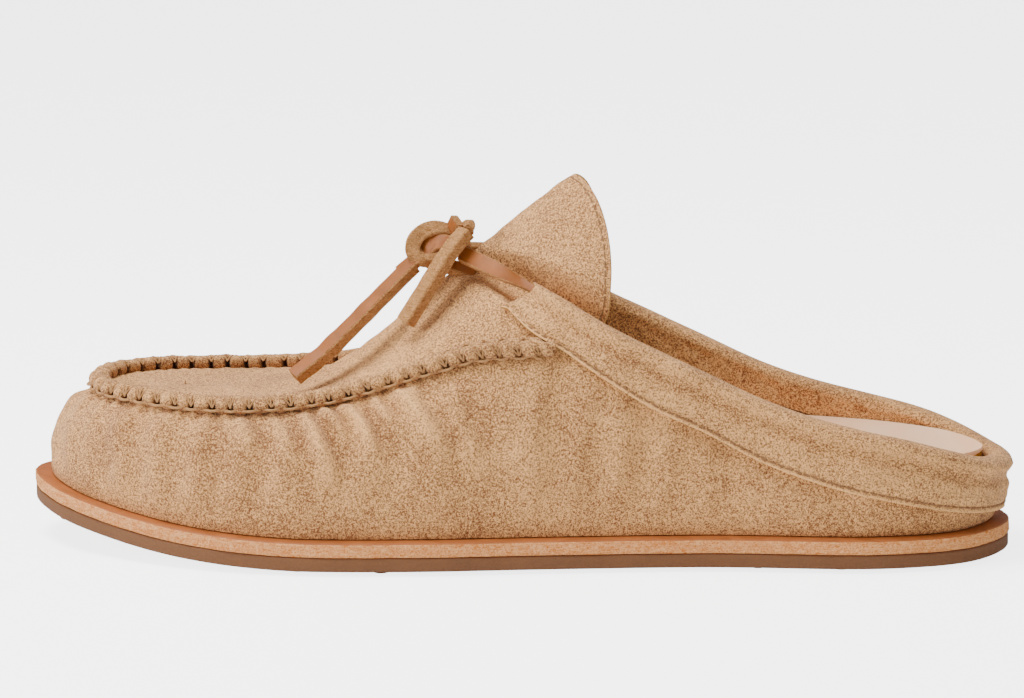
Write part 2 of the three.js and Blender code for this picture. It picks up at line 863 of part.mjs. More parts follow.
function lace() {
  const tunnel = collarGrid.map(laceTunnel);
  const last = tunnel.length - 1;
  const runs = [0, last].map((end) => {
    const start = tunnel[end];
    const side = Math.sign(start.at.y);
    const finish = knotAt.clone().add(new THREE.Vector3(7.5, side * 4.5, -1));
    const lead = start.at.clone().sub(tunnel[end ? last - 1 : 1].at).normalize();
    const over = formNormal(roundTo(tongueLine + 0.01, side), 0.85);
    const bulge = start.at.clone().lerp(finish, 0.5).addScaledVector(over, 5);
    const curve = new THREE.CatmullRomCurve3([
      start.at,
      start.at.clone().addScaledVector(lead, 7),
      bulge,
      finish,
    ]);
    return between(1 / laceRun, 1, laceRun - 1).map((s) => {
      const along = curve.getTangent(s);
      const face = start.flat.clone().lerp(over, smooth(s, 0.3, 0.8));
      const flat = face.addScaledVector(along, -face.dot(along)).normalize();
      const across = flat.clone().cross(along).normalize();
      if (across.dot(start.wide) < 0) across.negate();
      const wide = start.wide.clone().lerp(across, smooth(s, 0.2, 0.7)).normalize();
      return { at: curve.getPoint(s), flat, wide };
    });
  });
  const all = [...runs[0].reverse(), ...tunnel, ...runs[1]];
  return shell(all.map(({ at, flat, wide }) => laceSection(at, flat, wide)));
}

// Knot: a loop with the lace passed over it
const loopRadius = 4.6;
const strand = 1.9;
function knot() {
  const loop = new THREE.TorusGeometry(loopRadius, strand, 7, 14);
  loop.rotateX(Math.PI / 2);
  loop.translate(-2, 0, 0.8);
  const bar = new THREE.CapsuleGeometry(strand, 12, 3, 8);
  bar.rotateZ(Math.PI / 2);
  bar.rotateY(-0.75);
  const wrap = new THREE.SphereGeometry(4, 10, 7);
  const body = [bar, wrap].reduce((all, piece) => all.add(solidOf(piece)), solidOf(loop));
  const geometry = geometryOf(body);
  geometry.translate(knotAt.x, knotAt.y, knotAt.z);
  return geometry;
}

// The two free ends, each a curve that leaves the knot and lies over the apron
const tailRadius = 2.1;
const longTail = [
  [-7.5, -2, -4.5],
  [-13, -4, -10],
  [-20, -6.5, -17],
  [-27, -9.5, -24],
  [-34, -12.5, -30.5],
  [-41, -15.5, -36],
];
const shortTail = [
  [8.5, -6, 6],
  [5, -8.5, 2],
  [1, -9.5, -4],
  [-3, -10.5, -10.5],
  [-8.8, -11.7, -20],
];
function tail(offsets) {
  const curve = new THREE.CatmullRomCurve3(offsets.map((o) => knotAt.clone().add(new THREE.Vector3(...o))));
  return tube(curve, tailRadius, 8, offsets.length * 3);
}

// ---- stitching

function alongForm(places) {
  return new THREE.CatmullRomCurve3(places.map(([p, t, depth]) => onForm(p, t, depth)));
}
// Thick cord that whips the apron to the vamp
const seamSteps = 48;
function mocSeam() {
  const from = roundTo(seamEnd, -1);
  const to = roundTo(seamEnd, 1);
  const places = between(from, to, seamSteps / 2).map((p) => [p, seamAt(p), seamCordRadius + slack]);
  return tube(alongForm(places), seamCordRadius, 6, seamSteps);
}
const stitchInset = 2.2; // from a stitched edge to its thread
function collarStitching() {
  const places = collarGrid.map((share) => {
    const s = mix(0.004, 0.996, share);
    const { foot } = collarPlace(s);
    const t = crossing(foot, collarFootAt);
    return [foot, t + lineShare(foot, t, stitchInset), bandOut + threadRadius + slack];
  });
  return tube(alongForm(places), threadRadius, 4, collarSteps);
}
function tongueStitching() {
  const columns = tongueColumns(threadRadius + slack * 2, 0, stitchInset);
  const edge = columns[0].outer;
  return tube(new THREE.CatmullRomCurve3(edge), threadRadius, 4, 24);
}

// ---- assembly

const moccasin = new THREE.Group();
function addPart(name, geometry, finish, group = moccasin) {
  const mesh = new THREE.Mesh(geometry, finish);
  mesh.name = name;
  group.add(mesh);
}

const soleUnit = new THREE.Group();
const upper = new THREE.Group();
const tongueFlap = new THREE.Group();
const lacing = new THREE.Group();
moccasin.add(soleUnit, upper, tongueFlap, lacing);

addPart("outsole", outsole(), gumRubber, soleUnit);
addPart("midsole", midsole(), edgeLeather, soleUnit);
addPart("bottom_filler", filler(), corkBrown, soleUnit);
addPart("shank", shank(), steelGrey, soleUnit);
addPart("insole_board", insoleBoard(), fibreBoard, soleUnit);
addPart("footbed", footbed(), corkBrown, soleUnit);
addPart("footbed_sock", sock(), footbedLeather, soleUnit);

addPart("vamp", vamp(), suedeTan, upper);
addPart("quarter_lateral", quarter(-1), suedeTan, upper);
addPart("quarter_medial", quarter(1), suedeTan, upper);
addPart("vamp_lining", vampLining(), liningLeather, upper);
addPart("quarter_lining", quarterLining(), liningLeather, upper);
addPart("toe_puff", toePuff(), stiffWhite, upper);
addPart("heel_counter", heelCounter(), stiffWhite, upper);
addPart("apron", apron(), suedeTan, upper);
addPart("apron_lining", apronLining(), liningLeather, upper);
addPart("collar_band", collar(), suedeTan, upper);
addPart("moc_seam_cord", mocSeam(), threadTan, upper);
addPart("collar_stitching", collarStitching(), threadTan, upper);

addPart("tongue", tongue(), suedeTan, tongueFlap);
addPart("tongue_lining", tongueLining(), suedeInside, tongueFlap);
addPart("tongue_stitching", tongueStitching(), threadTan, tongueFlap);

addPart("lace", lace(), russetLeather, lacing);
addPart("lace_knot", knot(), russetLeather, lacing);
addPart("lace_tail_long", tail(longTail), russetLeather, lacing);
addPart("lace_tail_short", tail(shortTail), russetLeather, lacing);

// the origin is under the middle of the whole shoe
const middle = new THREE.Box3().setFromObject(moccasin).getCenter(new THREE.Vector3());
moccasin.position.set(-middle.x, -middle.y, 0);

export default moccasin;
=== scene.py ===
import math

import bmesh
import bpy
import numpy as np
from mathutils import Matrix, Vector


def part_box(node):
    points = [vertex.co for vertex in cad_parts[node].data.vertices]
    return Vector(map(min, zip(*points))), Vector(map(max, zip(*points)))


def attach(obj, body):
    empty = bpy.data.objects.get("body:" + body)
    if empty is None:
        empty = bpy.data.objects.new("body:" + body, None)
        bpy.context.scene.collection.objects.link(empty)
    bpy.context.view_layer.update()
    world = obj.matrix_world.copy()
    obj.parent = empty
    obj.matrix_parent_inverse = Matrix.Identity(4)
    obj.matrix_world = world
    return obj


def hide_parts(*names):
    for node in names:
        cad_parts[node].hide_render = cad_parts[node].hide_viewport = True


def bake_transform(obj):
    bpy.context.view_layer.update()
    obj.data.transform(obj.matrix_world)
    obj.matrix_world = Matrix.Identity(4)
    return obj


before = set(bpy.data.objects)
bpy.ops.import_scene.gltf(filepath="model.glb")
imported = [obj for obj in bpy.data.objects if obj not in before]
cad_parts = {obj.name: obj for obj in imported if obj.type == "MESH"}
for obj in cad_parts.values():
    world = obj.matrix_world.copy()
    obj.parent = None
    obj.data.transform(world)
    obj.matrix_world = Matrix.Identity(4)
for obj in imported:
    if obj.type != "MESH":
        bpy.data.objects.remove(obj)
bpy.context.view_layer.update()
mm = 0.001
print("frame loaded")

# ---- camera, floor and light

viewer = {"azimuth": 4.5, "elevation": 10.5, "distance": 1.3, "lens": 155.0, "aim": (-2.0, 2.3, 57.5)}


def placeCamera():
    data = bpy.data.cameras.new("viewCamera")
    data.lens = viewer["lens"]
    data.sensor_width = 36.0
    data.clip_start = 0.05
    camera = bpy.data.objects.new("viewCamera", data)
    bpy.context.collection.objects.link(camera)
    a, e = math.radians(viewer["azimuth"]), math.radians(viewer["elevation"])
    back = Vector((math.sin(a) * math.cos(e), -math.cos(a) * math.cos(e), math.sin(e)))
    aim = Vector(viewer["aim"]) * mm
    camera.location = aim + back * viewer["distance"]
    camera.rotation_euler = (-back).to_track_quat("-Z", "Y").to_euler()
    bpy.context.scene.camera = camera


placeCamera()

# ---- the foot form: the same smooth body that the solids are laid on

shoe = {
    "length": 290.0,
    "width": 102.0,
    "upper": 100.0,
    "spring": 10.0,
    "springStart": 0.69,
    "studHeight": 1.2,
    "studPitch": (24.0, 15.0),
    "studEdge": 4.8,
    "outsole": 4.2,
    "midsole": 3.9,
    "welt": 4.8,
    "suede": 1.4,
    "stiffener": 1.0,
    "lining": 0.8,
    "band": 1.3,
    "board": 2.0,
    "sock": 1.2,
    "footbedHeel": 10.5,
    "footbedToe": 5.0,
    "lacing": (4.8, 2.8),
    "gap": 0.3,
    "slack": 0.5,
    "ridgeSide": 4.0,
}
stiffenerIn = -shoe["suede"] - shoe["gap"] - shoe["stiffener"]
liningOut = stiffenerIn - shoe["gap"]
liningIn = liningOut - shoe["lining"]
bandOut = shoe["slack"] + shoe["band"]
bandInnerOut = liningIn - shoe["slack"] * 1.5
bandInnerIn = bandInnerOut - shoe["band"]
outsoleTop = shoe["studHeight"] + shoe["outsole"]
midsoleBottom = outsoleTop + shoe["gap"]
weltTop = midsoleBottom + shoe["midsole"]
featherHeight = weltTop + shoe["gap"]
boardBottom = featherHeight + shoe["suede"] + shoe["gap"]
boardTop = boardBottom + shoe["board"]
footbedBottom = boardTop + shoe["gap"]


def curveThrough(rows, column=1):
    xs = np.array([r[0] for r in rows], float)
    ys = np.array([r[column] for r in rows], float)
    lower = np.maximum(np.arange(len(xs)) - 1, 0)
    upper = np.minimum(np.arange(len(xs)) + 1, len(xs) - 1)
    slope = (ys[upper] - ys[lower]) / (xs[upper] - xs[lower])

    def value(x):
        x = np.clip(np.asarray(x, float), xs[0], xs[-1])
        i = np.clip(np.searchsorted(xs, x, side="right") - 1, 0, len(xs) - 2)
        width = xs[i + 1] - xs[i]
        s = (x - xs[i]) / width
        h = 3 * s**2 - 2 * s**3
        lead = slope[i] * width * s * (1 - s) ** 2
        tail = slope[i + 1] * width * s**2 * (1 - s)
        return ys[i] * (1 - h) + ys[i + 1] * h + lead - tail

    return value


def smooth(x, a, b):
    s = np.clip((np.asarray(x, float) - a) / (b - a), 0, 1)
    return s * s * (3 - 2 * s)


def mix(a, b, w):
    return a + (b - a) * w


def unit(v):
    return v / np.maximum(np.linalg.norm(v, axis=-1, keepdims=True), 1e-12)


def xAt(station):
    return shoe["length"] * (0.5 - station)


def stationAt(x):
    return 0.5 - x / shoe["length"]


def spring(x):
    start = shoe["springStart"]
    return shoe["spring"] * np.maximum(0, (stationAt(x) - start) / (1 - start)) ** 2


outlinePoints = [
    (0, 0),
    (0.038, -0.235),
    (0.125, -0.348),
    (0.3, -0.368),
    (0.45, -0.426),
    (0.6, -0.495),
    (0.715, -0.51),
    (0.82, -0.451),
    (0.9, -0.338),
    (0.965, -0.191),
    (0.998, -0.005),
    (0.983, 0.172),
    (0.93, 0.32),
    (0.83, 0.436),
    (0.73, 0.47),
    (0.6, 0.412),
    (0.45, 0.324),
    (0.3, 0.304),
    (0.125, 0.338),
    (0.038, 0.23),
]


outlineSteps = 4096  # even steps round the outline


def roundOutline(points, steps=120):
    # a closed centripetal Catmull-Rom curve, spaced evenly along its length
    pts = np.array(points)
    n = len(pts)
    found = []
    for i in range(n):
        a, b, c, d = (pts[(i + k) % n] for k in (-1, 0, 1, 2))
        ab, bc, cd = (np.linalg.norm(v) ** 0.5 for v in (b - a, c - b, d - c))
        m1 = ((b - a) / ab - (c - a) / (ab + bc) + (c - b) / bc) * bc
        m2 = ((c - b) / bc - (d - b) / (bc + cd) + (d - c) / cd) * bc
        w = (np.arange(steps) / steps)[:, None]
        found.append(b + m1 * w + (3 * (c - b) - 2 * m1 - m2) * w**2 + (2 * (b - c) + m1 + m2) * w**3)
    line = np.vstack(found + [pts[:1]])
    along = np.concatenate([[0], np.cumsum(np.linalg.norm(np.diff(line, axis=0), axis=1))])
    even = np.linspace(0, along[-1], outlineSteps + 1)
    return np.stack([np.interp(even, along, line[:, k]) for k in (0, 1)], 1), along[-1]


outline, perimeter = roundOutline([(xAt(s), y * shoe["width"]) for s, y in outlinePoints])
outlineShift = (outline.max(0) + outline.min(0)) / 2  # the solids stand on the middle of their box
soleLow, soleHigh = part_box("midsole")
boxMiddle = (np.array(soleLow) + np.array(soleHigh))[:2] / 2 / mm
shift = np.array([*(boxMiddle - outlineShift), 0.0])


def edgePoint(p, inset):
    q = np.mod(np.asarray(p, float), 1) * outlineSteps
    i = np.floor(q).astype(int) % outlineSteps
    w = (q - np.floor(q))[..., None]
    at = outline[i] * (1 - w) + outline[i + 1] * w
    along = unit(outline[(i + 3) % outlineSteps] - outline[(i - 2) % outlineSteps])
    outward = np.stack([-along[..., 1], along[..., 0]], -1)
    return at - outward * np.asarray(inset)[..., None], outward


lateralShape = [
    (0, 26, 14, 30),
    (0.15, 34, 4, 30),
    (0.35, 40, 2, 31),
    (0.5, 44, 2, 33),
    (0.62, 40, 3, 36),
    (0.75, 36, 4, 39),
    (0.88, 32, 3, 37),
    (1, 25, 1, 28),
]
medialShape = [
    (0, 26, 14, 30),
    (0.15, 34, 4, 30),
    (0.35, 40, 6, 31),
    (0.5, 44, 5, 33),
    (0.62, 40, 5, 36),
    (0.75, 36, 4, 39),
    (0.88, 32, 3, 37),
    (1, 25, 1, 28),
]
ridgeStation = curveThrough(
    [
        (0, 0.17),
        (0.15, 0.25),
        (0.35, 0.441),
        (0.43, 0.528),
        (0.52, 0.615),
        (0.62, 0.69),
        (0.75, 0.775),
        (0.88, 0.83),
        (1, 0.845),
    ]
)
ridgeHeight = curveThrough(
    [
        (0.17, 101),
        (0.25, 103),
        (0.4, 103),
        (0.441, 100.4),
        (0.48, 92.4),
        (0.54, 77.9),
        (0.6, 62.4),
        (0.64, 52.4),
        (0.68, 44.2),
        (0.72, 38.8),
        (0.78, 36.4),
        (0.845, 36.6),
    ]
)
tall = shoe["upper"] / 100


def ridgePoint(station):
    side = shoe["ridgeSide"] * smooth(station, 0.45, 0.84)
    return np.stack([xAt(station), side, featherHeight + ridgeHeight(station) * tall], -1)


def formLines(p):
    # the four control points of the form's line at each p
    flat, outward = edgePoint(p, np.full(np.shape(p), shoe["welt"]))
    station = stationAt(flat[..., 0])
    foot = np.concatenate([flat, (featherHeight + spring(flat[..., 0]))[..., None]], -1)
    side = smooth(np.sin(2 * np.pi * p), -0.25, 0.25)
    rise, lean, reach = (
        mix(curveThrough(medialShape, c)(station), curveThrough(lateralShape, c)(station), side)
        for c in (1, 2, 3)
    )
    top = ridgePoint(ridgeStation(station))
    out = foot[..., :2] - top[..., :2]
    half = np.linalg.norm(out, axis=-1)
    out = unit(out)
    low = foot.copy()
    low[..., :2] += outward * lean[..., None]
    low[..., 2] += rise * tall
    high = top.copy()
    high[..., :2] += out * np.minimum(reach, half * 0.9)[..., None]
    return np.stack([foot, low, high, top], -2)


lineTable = formLines(np.arange(outlineSteps + 1) / outlineSteps)


def linesAt(p):
    q = np.mod(p, 1) * outlineSteps
    i = np.floor(q).astype(int) % outlineSteps
    w = (q - np.floor(q))[..., None, None]
    return lineTable[i] * (1 - w) + lineTable[i + 1] * w


def formPoint(p, t):
    c = linesAt(p)
    t = np.asarray(t, float)[..., None]
    s = 1 - t
    near = c[..., 0, :] * s**3 + c[..., 1, :] * 3 * s**2 * t
    return near + c[..., 2, :] * 3 * s * t**2 + c[..., 3, :] * t**3


def formFrame(p, t):
    # the outward normal, the way round the shoe and the way up
    p, t = np.broadcast_arrays(np.asarray(p, float), np.asarray(t, float))
    up = unit(formPoint(p, np.minimum(t + 1e-3, 1)) - formPoint(p, np.maximum(t - 1e-3, 0)))
    along = unit(formPoint(p + 1e-3, t) - formPoint(p - 1e-3, t))
    return unit(np.cross(up, along)), along, up


def onForm(p, t, depth=0.0):
    p, t = np.broadcast_arrays(np.asarray(p, float), np.asarray(t, float))
    depth = np.broadcast_to(np.asarray(depth, float), p.shape)
    return formPoint(p, t) + formFrame(p, t)[0] * depth[..., None]


def bisect(test, shape, low=0.0, high=1.0):
    # the last place at which test still holds
    a, b = np.full(shape, low), np.full(shape, high)
    for _ in range(26):
        m = (a + b) / 2
        under = test(m)
        a, b = np.where(under, m, a), np.where(under, b, m)
    return (a + b) / 2


def crossing(p, heightAt):
    p = np.asarray(p, float)

    def under(t):
        at = formPoint(p, t)
        return at[..., 2] < heightAt(stationAt(at[..., 0]))

    return bisect(under, p.shape)


def share(p, t, distance):
    # a distance along the line at p, as a change of t
    t = np.asarray(t, float)
    run = formPoint(p, np.minimum(1, t + 1e-3)) - formPoint(p, np.maximum(0, t - 1e-3))
    return distance * 2e-3 / np.linalg.norm(run, axis=-1)


collarTop = curveThrough(
    [
        (0.005, 19.6),
        (0.022, 20.4),
        (0.055, 23.8),
        (0.103, 27.9),
        (0.153, 31.2),
        (0.203, 35),
        (0.255, 40.4),
        (0.307, 47.4),
        (0.357, 54.1),
        (0.407, 61),
        (0.448, 67.4),
        (0.49, 72.8),
    ]
)
collarFoot = curveThrough(
    [
        (0.007, 3.6),
        (0.043, 5.8),
        (0.101, 9.4),
        (0.172, 14.2),
        (0.243, 21.1),
        (0.304, 29.8),
        (0.354, 36.4),
        (0.405, 45),
        (0.462, 55.9),
        (0.509, 65.8),
    ]
)
seamLine = curveThrough(
    [
        (0.4, 0.43),
        (0.45, 0.491),
        (0.52, 0.575),
        (0.62, 0.62),
        (0.75, 0.6),
        (0.88, 0.62),
        (1, 0.65),
    ]
)
lines = {
    "sideSeam": 0.535,
    "quarterStep": 0.436,
    "tongueLine": 0.442,
    "tongueTip": 0.352,
    "tongueSide": 0.397,
    "tongueWing": 3.5,
    "collarFrontTop": 0.431,
    "collarFrontFoot": 0.464,
    "seamEnd": 0.432,
    "apronStart": 0.9,
    "wingEnds": (0.436, 0.448),
    "tuckEnds": (0.447, 0.476),
    "gathersStart": (0.47, 0.6),
    "creasesStart": (0.5, 0.6),
    "dishStart": (0.56, 0.72),
}


def collarTopAt(station):
    return featherHeight + collarTop(station) * tall


def collarFootAt(station):
    return featherHeight + collarFoot(station) * tall


def welt(p):
    return stationAt(edgePoint(p, np.full(np.shape(p), shoe["welt"]))[0][..., 0])


halfRound = np.linspace(0, 0.47, 2000)
weltLateral, weltMedial = welt(halfRound), welt(1 - halfRound)


def roundTo(station, side):
    # p at a station on one side: -1 lateral, 1 medial
    found = np.interp(station, weltLateral if side < 0 else weltMedial, halfRound)
    return found if side < 0 else 1 - found


def seamAt(p):
    return seamLine(welt(p))


tuckDepth = bandInnerIn - 1.6  # inside the collar's inner leg


def tuck(p, t):
    # how deep the leather over the instep lies inside the collar
    top = crossing(p, collarTopAt)
    one = share(p, top, 1)
    up = smooth((t - top + one) / (16 * one), 0, 1)
    ahead = smooth(welt(p), *lines["tuckEnds"])
    under = smooth((t - crossing(p, collarFootAt)) / one, 0.5, 9)
    return tuckDepth * (1 - up) * (1 - ahead) * under


# ---- mesh making


def waves(size, count=7, seed=1):
    # a smooth random value from about -1 to 1 that changes over the given size
    r = np.random.default_rng(seed)
    ways = unit(r.normal(size=(count, 3))) * (2 * np.pi / size) * r.uniform(0.6, 1.5, (count, 1))
    phases = r.uniform(0, 2 * np.pi, count)

    def value(points):
        return np.sin(points @ ways.T + phases).sum(-1) / math.sqrt(count)

    return value


def makeMesh(name, points, faces, mats, faceMats=None, merge=0.0, sharp=50, shade=None, toneAndPaintedLight=None):
    mesh = bpy.data.meshes.new(name)
    points = np.asarray(points, float).reshape(-1, 3)
    mesh.from_pydata(((points + shift) * mm).tolist(), [], [list(f) for f in faces])
    for m in mats:
        mesh.materials.append(m)
    if faceMats is not None:
        mesh.polygons.foreach_set("material_index", np.asarray(faceMats, np.int32))
    mesh.attributes.new("place", "FLOAT_VECTOR", "POINT").data.foreach_set("vector", points.ravel())
    # shade is painted shade; the second value is real tone with painted highlights and painted shade in it
    for label, values in (("shade", shade), ("toneAndPaintedLight", toneAndPaintedLight)):
        if values is not None:
            mesh.attributes.new(label, "FLOAT", "POINT").data.foreach_set("value", np.ravel(values))
    mesh.validate()
    if merge:
        bm = bmesh.new()
        bm.from_mesh(mesh)
        bmesh.ops.remove_doubles(bm, verts=bm.verts, dist=merge * mm)
        bmesh.ops.dissolve_degenerate(bm, edges=bm.edges, dist=1e-7)
        bm.to_mesh(mesh)
        bm.free()
    mesh.polygons.foreach_set("use_smooth", [True] * len(mesh.polygons))
    mesh.set_sharp_from_angle(angle=math.radians(sharp))
    obj = bpy.data.objects.new(name, mesh)
    bpy.context.collection.objects.link(obj)
    return obj


def shellFaces(columns, rows, capStart=True, capEnd=True):
    # faces of a sheet with an outer and an inner side, and 0, 1 or 2 for outer, inner and rim
    i, k = np.meshgrid(np.arange(columns - 1), np.arange(rows - 1), indexing="ij")
    i, k = i.ravel(), k.ravel()
    size = columns * rows

    def outer(a, b):
        return a * rows + b

    def inner(a, b):
        return size + a * rows + b

    front = np.stack([outer(i, k), outer(i, k + 1), outer(i + 1, k + 1), outer(i + 1, k)], 1)
    back = np.stack([inner(i, k), inner(i + 1, k), inner(i + 1, k + 1), inner(i, k + 1)], 1)
    c = np.arange(columns - 1)
    last = rows - 1
    low = np.stack([outer(c, 0), outer(c + 1, 0), inner(c + 1, 0), inner(c, 0)], 1)
    high = np.stack([outer(c + 1, last), outer(c, last), inner(c, last), inner(c + 1, last)], 1)
    r = np.arange(rows - 1)
    end = columns - 1
    rims = [low, high]
    if capStart:
        rims.append(np.stack([outer(0, r), inner(0, r), inner(0, r + 1), outer(0, r + 1)], 1))
    if capEnd:
        rims.append(np.stack([outer(end, r), outer(end, r + 1), inner(end, r + 1), inner(end, r)], 1))
    rim = np.vstack(rims)
    faces = np.vstack([front, back, rim])
    kinds = np.concatenate([np.zeros(len(front)), np.ones(len(back)), np.full(len(rim), 2)]).astype(int)
    return faces, kinds


def outwards(points, faces):
    # turns all the faces over if the solid is inside out
    corner = points[faces]
    a, b, c, d = (corner[:, k] for k in range(4))
    volume = (np.cross(a, b) * c).sum() + (np.cross(a, c) * d).sum()
    return faces[:, ::-1] if volume < 0 else faces


def sheetPiece(name, outer, inner, mats, capStart=True, capEnd=True, merge=0.0, toneAndPaintedLight=None, sharp=50):
    # outer and inner are columns of rows of points
    columns, rows = outer.shape[:2]
    points = np.concatenate([outer.reshape(-1, 3), inner.reshape(-1, 3)])
    faces, kinds = shellFaces(columns, rows, capStart, capEnd)
    faces = outwards(points, faces)
    if toneAndPaintedLight is not None:
        toneAndPaintedLight = np.concatenate([np.ravel(toneAndPaintedLight), np.ravel(toneAndPaintedLight)])
    used = [mats[min(k, len(mats) - 1)] for k in range(3)]
    return makeMesh(name, points, faces, used, kinds, merge, sharp, toneAndPaintedLight=toneAndPaintedLight)


def along(points):
    return np.concatenate([[0], np.cumsum(np.linalg.norm(np.diff(points, axis=0), axis=1))])


def resample(points, step):
    # the same line with points an even step apart
    run = along(points)
    n = max(2, int(round(run[-1] / step)) + 1)
    even = np.linspace(0, run[-1], n)
    return np.stack([np.interp(even, run, points[:, k]) for k in range(3)], 1)


def curveLine(points, step=1.0):
    # a smooth line through given points
    pts = np.asarray(points, float)
    pts = np.vstack([2 * pts[0] - pts[1], pts, 2 * pts[-1] - pts[-2]])
    found = []
    w = np.linspace(0, 1, 30, endpoint=False)[:, None]
    for i in range(1, len(pts) - 2):
        a, b, c, d = pts[i - 1 : i + 3]
        square = (2 * a - 5 * b + 4 * c - d) * w**2
        cube = (3 * b - a - 3 * c + d) * w**3
        found.append(0.5 * (2 * b + (c - a) * w + square + cube))
    return resample(np.vstack(found + [pts[-2:-1]]), step)


def tangents(line):
    return unit(np.gradient(line, axis=0))


def straps(name, runs, profile, mats, profileMats=None, merge=0.0, sharp=40):
    # runs are (line, face, side): the points of a strap and its two cross directions
    points, faces, kinds = [], [], []
    base = 0
    sides = len(profile)
    for line, face, side, scale in runs:
        n = len(line)
        ring = line[:, None, :] + (
            side[:, None, :] * profile[None, :, 0, None] + face[:, None, :] * profile[None, :, 1, None]
        ) * np.reshape(scale, (-1, 1, 1))
        points.append(ring.reshape(-1, 3))
        i, k = np.meshgrid(np.arange(n - 1), np.arange(sides), indexing="ij")
        i, k = i.ravel(), k.ravel()
        j = (k + 1) % sides
        here, onward = base + i * sides, base + (i + 1) * sides
        body = np.stack([here + k, here + j, onward + j, onward + k], 1)
        faces += body.tolist()
        kinds += (np.zeros(len(k), int) if profileMats is None else np.asarray(profileMats)[k]).tolist()
        faces.append(list(range(base, base + sides))[::-1])
        faces.append(list(range(base + (n - 1) * sides, base + n * sides)))
        kinds += [len(mats) - 1] * 2
        base += n * sides
    points = np.vstack(points)
    quads = np.array([f for f in faces if len(f) == 4])
    corner = points[quads]
    if (np.cross(corner[:, 0], corner[:, 1]) * corner[:, 2]).sum() < 0:
        faces = [f[::-1] for f in faces]
    return makeMesh(name, points, faces, mats, kinds, merge, sharp)


def roundProfile(radius, sides=8, flat=1.0):
    a = np.arange(sides) * 2 * np.pi / sides
    return np.stack([radius * np.cos(a), radius * flat * np.sin(a)], 1)


def threadRun(line, radiusAt=None):
    # a line with cross directions that don't twist
    way = tangents(line)
    side = np.zeros_like(line)
    v = np.cross(way[0], [0.1, 0.2, 1.0])
    for i, t in enumerate(way):
        v = v - t * (v @ t)
        v = v / max(np.linalg.norm(v), 1e-9)
        side[i] = v
    face = np.cross(way, side)
    return line, face, side, np.ones(len(line)) if radiusAt is None else radiusAt


# ---- finishes


palette = {"richer": 1.8, "darker": 0.72}


def tint(r, g, b, deep=1.0):
    # a colour as it should look, from 0 to 255; the view softens strong colours, so they start richer
    def lin(v):
        v /= 255
        return v / 12.92 if v < 0.04045 else ((v + 0.055) / 1.055) ** 2.4

    c = np.array([lin(r), lin(g), lin(b)])
    c = c.mean() + (c - c.mean()) * palette["richer"]
    return (*np.clip(c * palette["darker"] * deep, 0.004, 0.95), 1.0)


def put(tree, kind, inputs=None, **props):
    # adds a shader node; an input is a value or another node's output
    n = tree.nodes.new(kind)
    for key, value in props.items():
        setattr(n, key, value)
    for key, value in (inputs or {}).items():
        socket = n.inputs[key]
        if isinstance(value, bpy.types.NodeSocket):
            tree.links.new(value, socket)
        else:
            socket.default_value = value
    return n


def newGroup(name, ins, outs):
    tree = bpy.data.node_groups.new(name, "ShaderNodeTree")
    for label, kind, value in ins:
        s = tree.interface.new_socket(label, in_out="INPUT", socket_type=kind)
        if value is not None:
            s.default_value = value
    for label, kind in outs:
        tree.interface.new_socket(label, in_out="OUTPUT", socket_type=kind)
    return tree, tree.nodes.new("NodeGroupInput").outputs, tree.nodes.new("NodeGroupOutput").inputs


def mathNode(tree, operation, a, b=0.0, c=0.0, clamp=False):
    return put(tree, "ShaderNodeMath", {0: a, 1: b, 2: c}, operation=operation, use_clamp=clamp).outputs[0]


def mixColor(tree, w, a, b, blend="MIX"):
    n = tree.nodes.new("ShaderNodeMix")
    n.data_type = "RGBA"
    n.blend_type = blend
    for socket, value in ((n.inputs[0], w), (n.inputs[6], a), (n.inputs[7], b)):
        if isinstance(value, bpy.types.NodeSocket):
            tree.links.new(value, socket)
        else:
            socket.default_value = value
    return n.outputs[2]


def weighted(tree, parts):
    # parts are pairs of a level and its weight
    total = None
    for level, weight in parts:
        one = mathNode(tree, "MULTIPLY", level, weight)
        total = one if total is None else mathNode(tree, "ADD", total, one)
    return total


def noise(tree, vector, scale, detail=3.0, rough=0.55, warp=0.0):
    inputs = {"Vector": vector, "Scale": scale, "Detail": detail, "Roughness": rough, "Distortion": warp}
    return put(tree, "ShaderNodeTexNoise", inputs).outputs[0]


def stretched(tree, vector, x, y, z):
    return put(tree, "ShaderNodeVectorMath", {0: vector, 1: (x, y, z)}, operation="MULTIPLY").outputs[0]


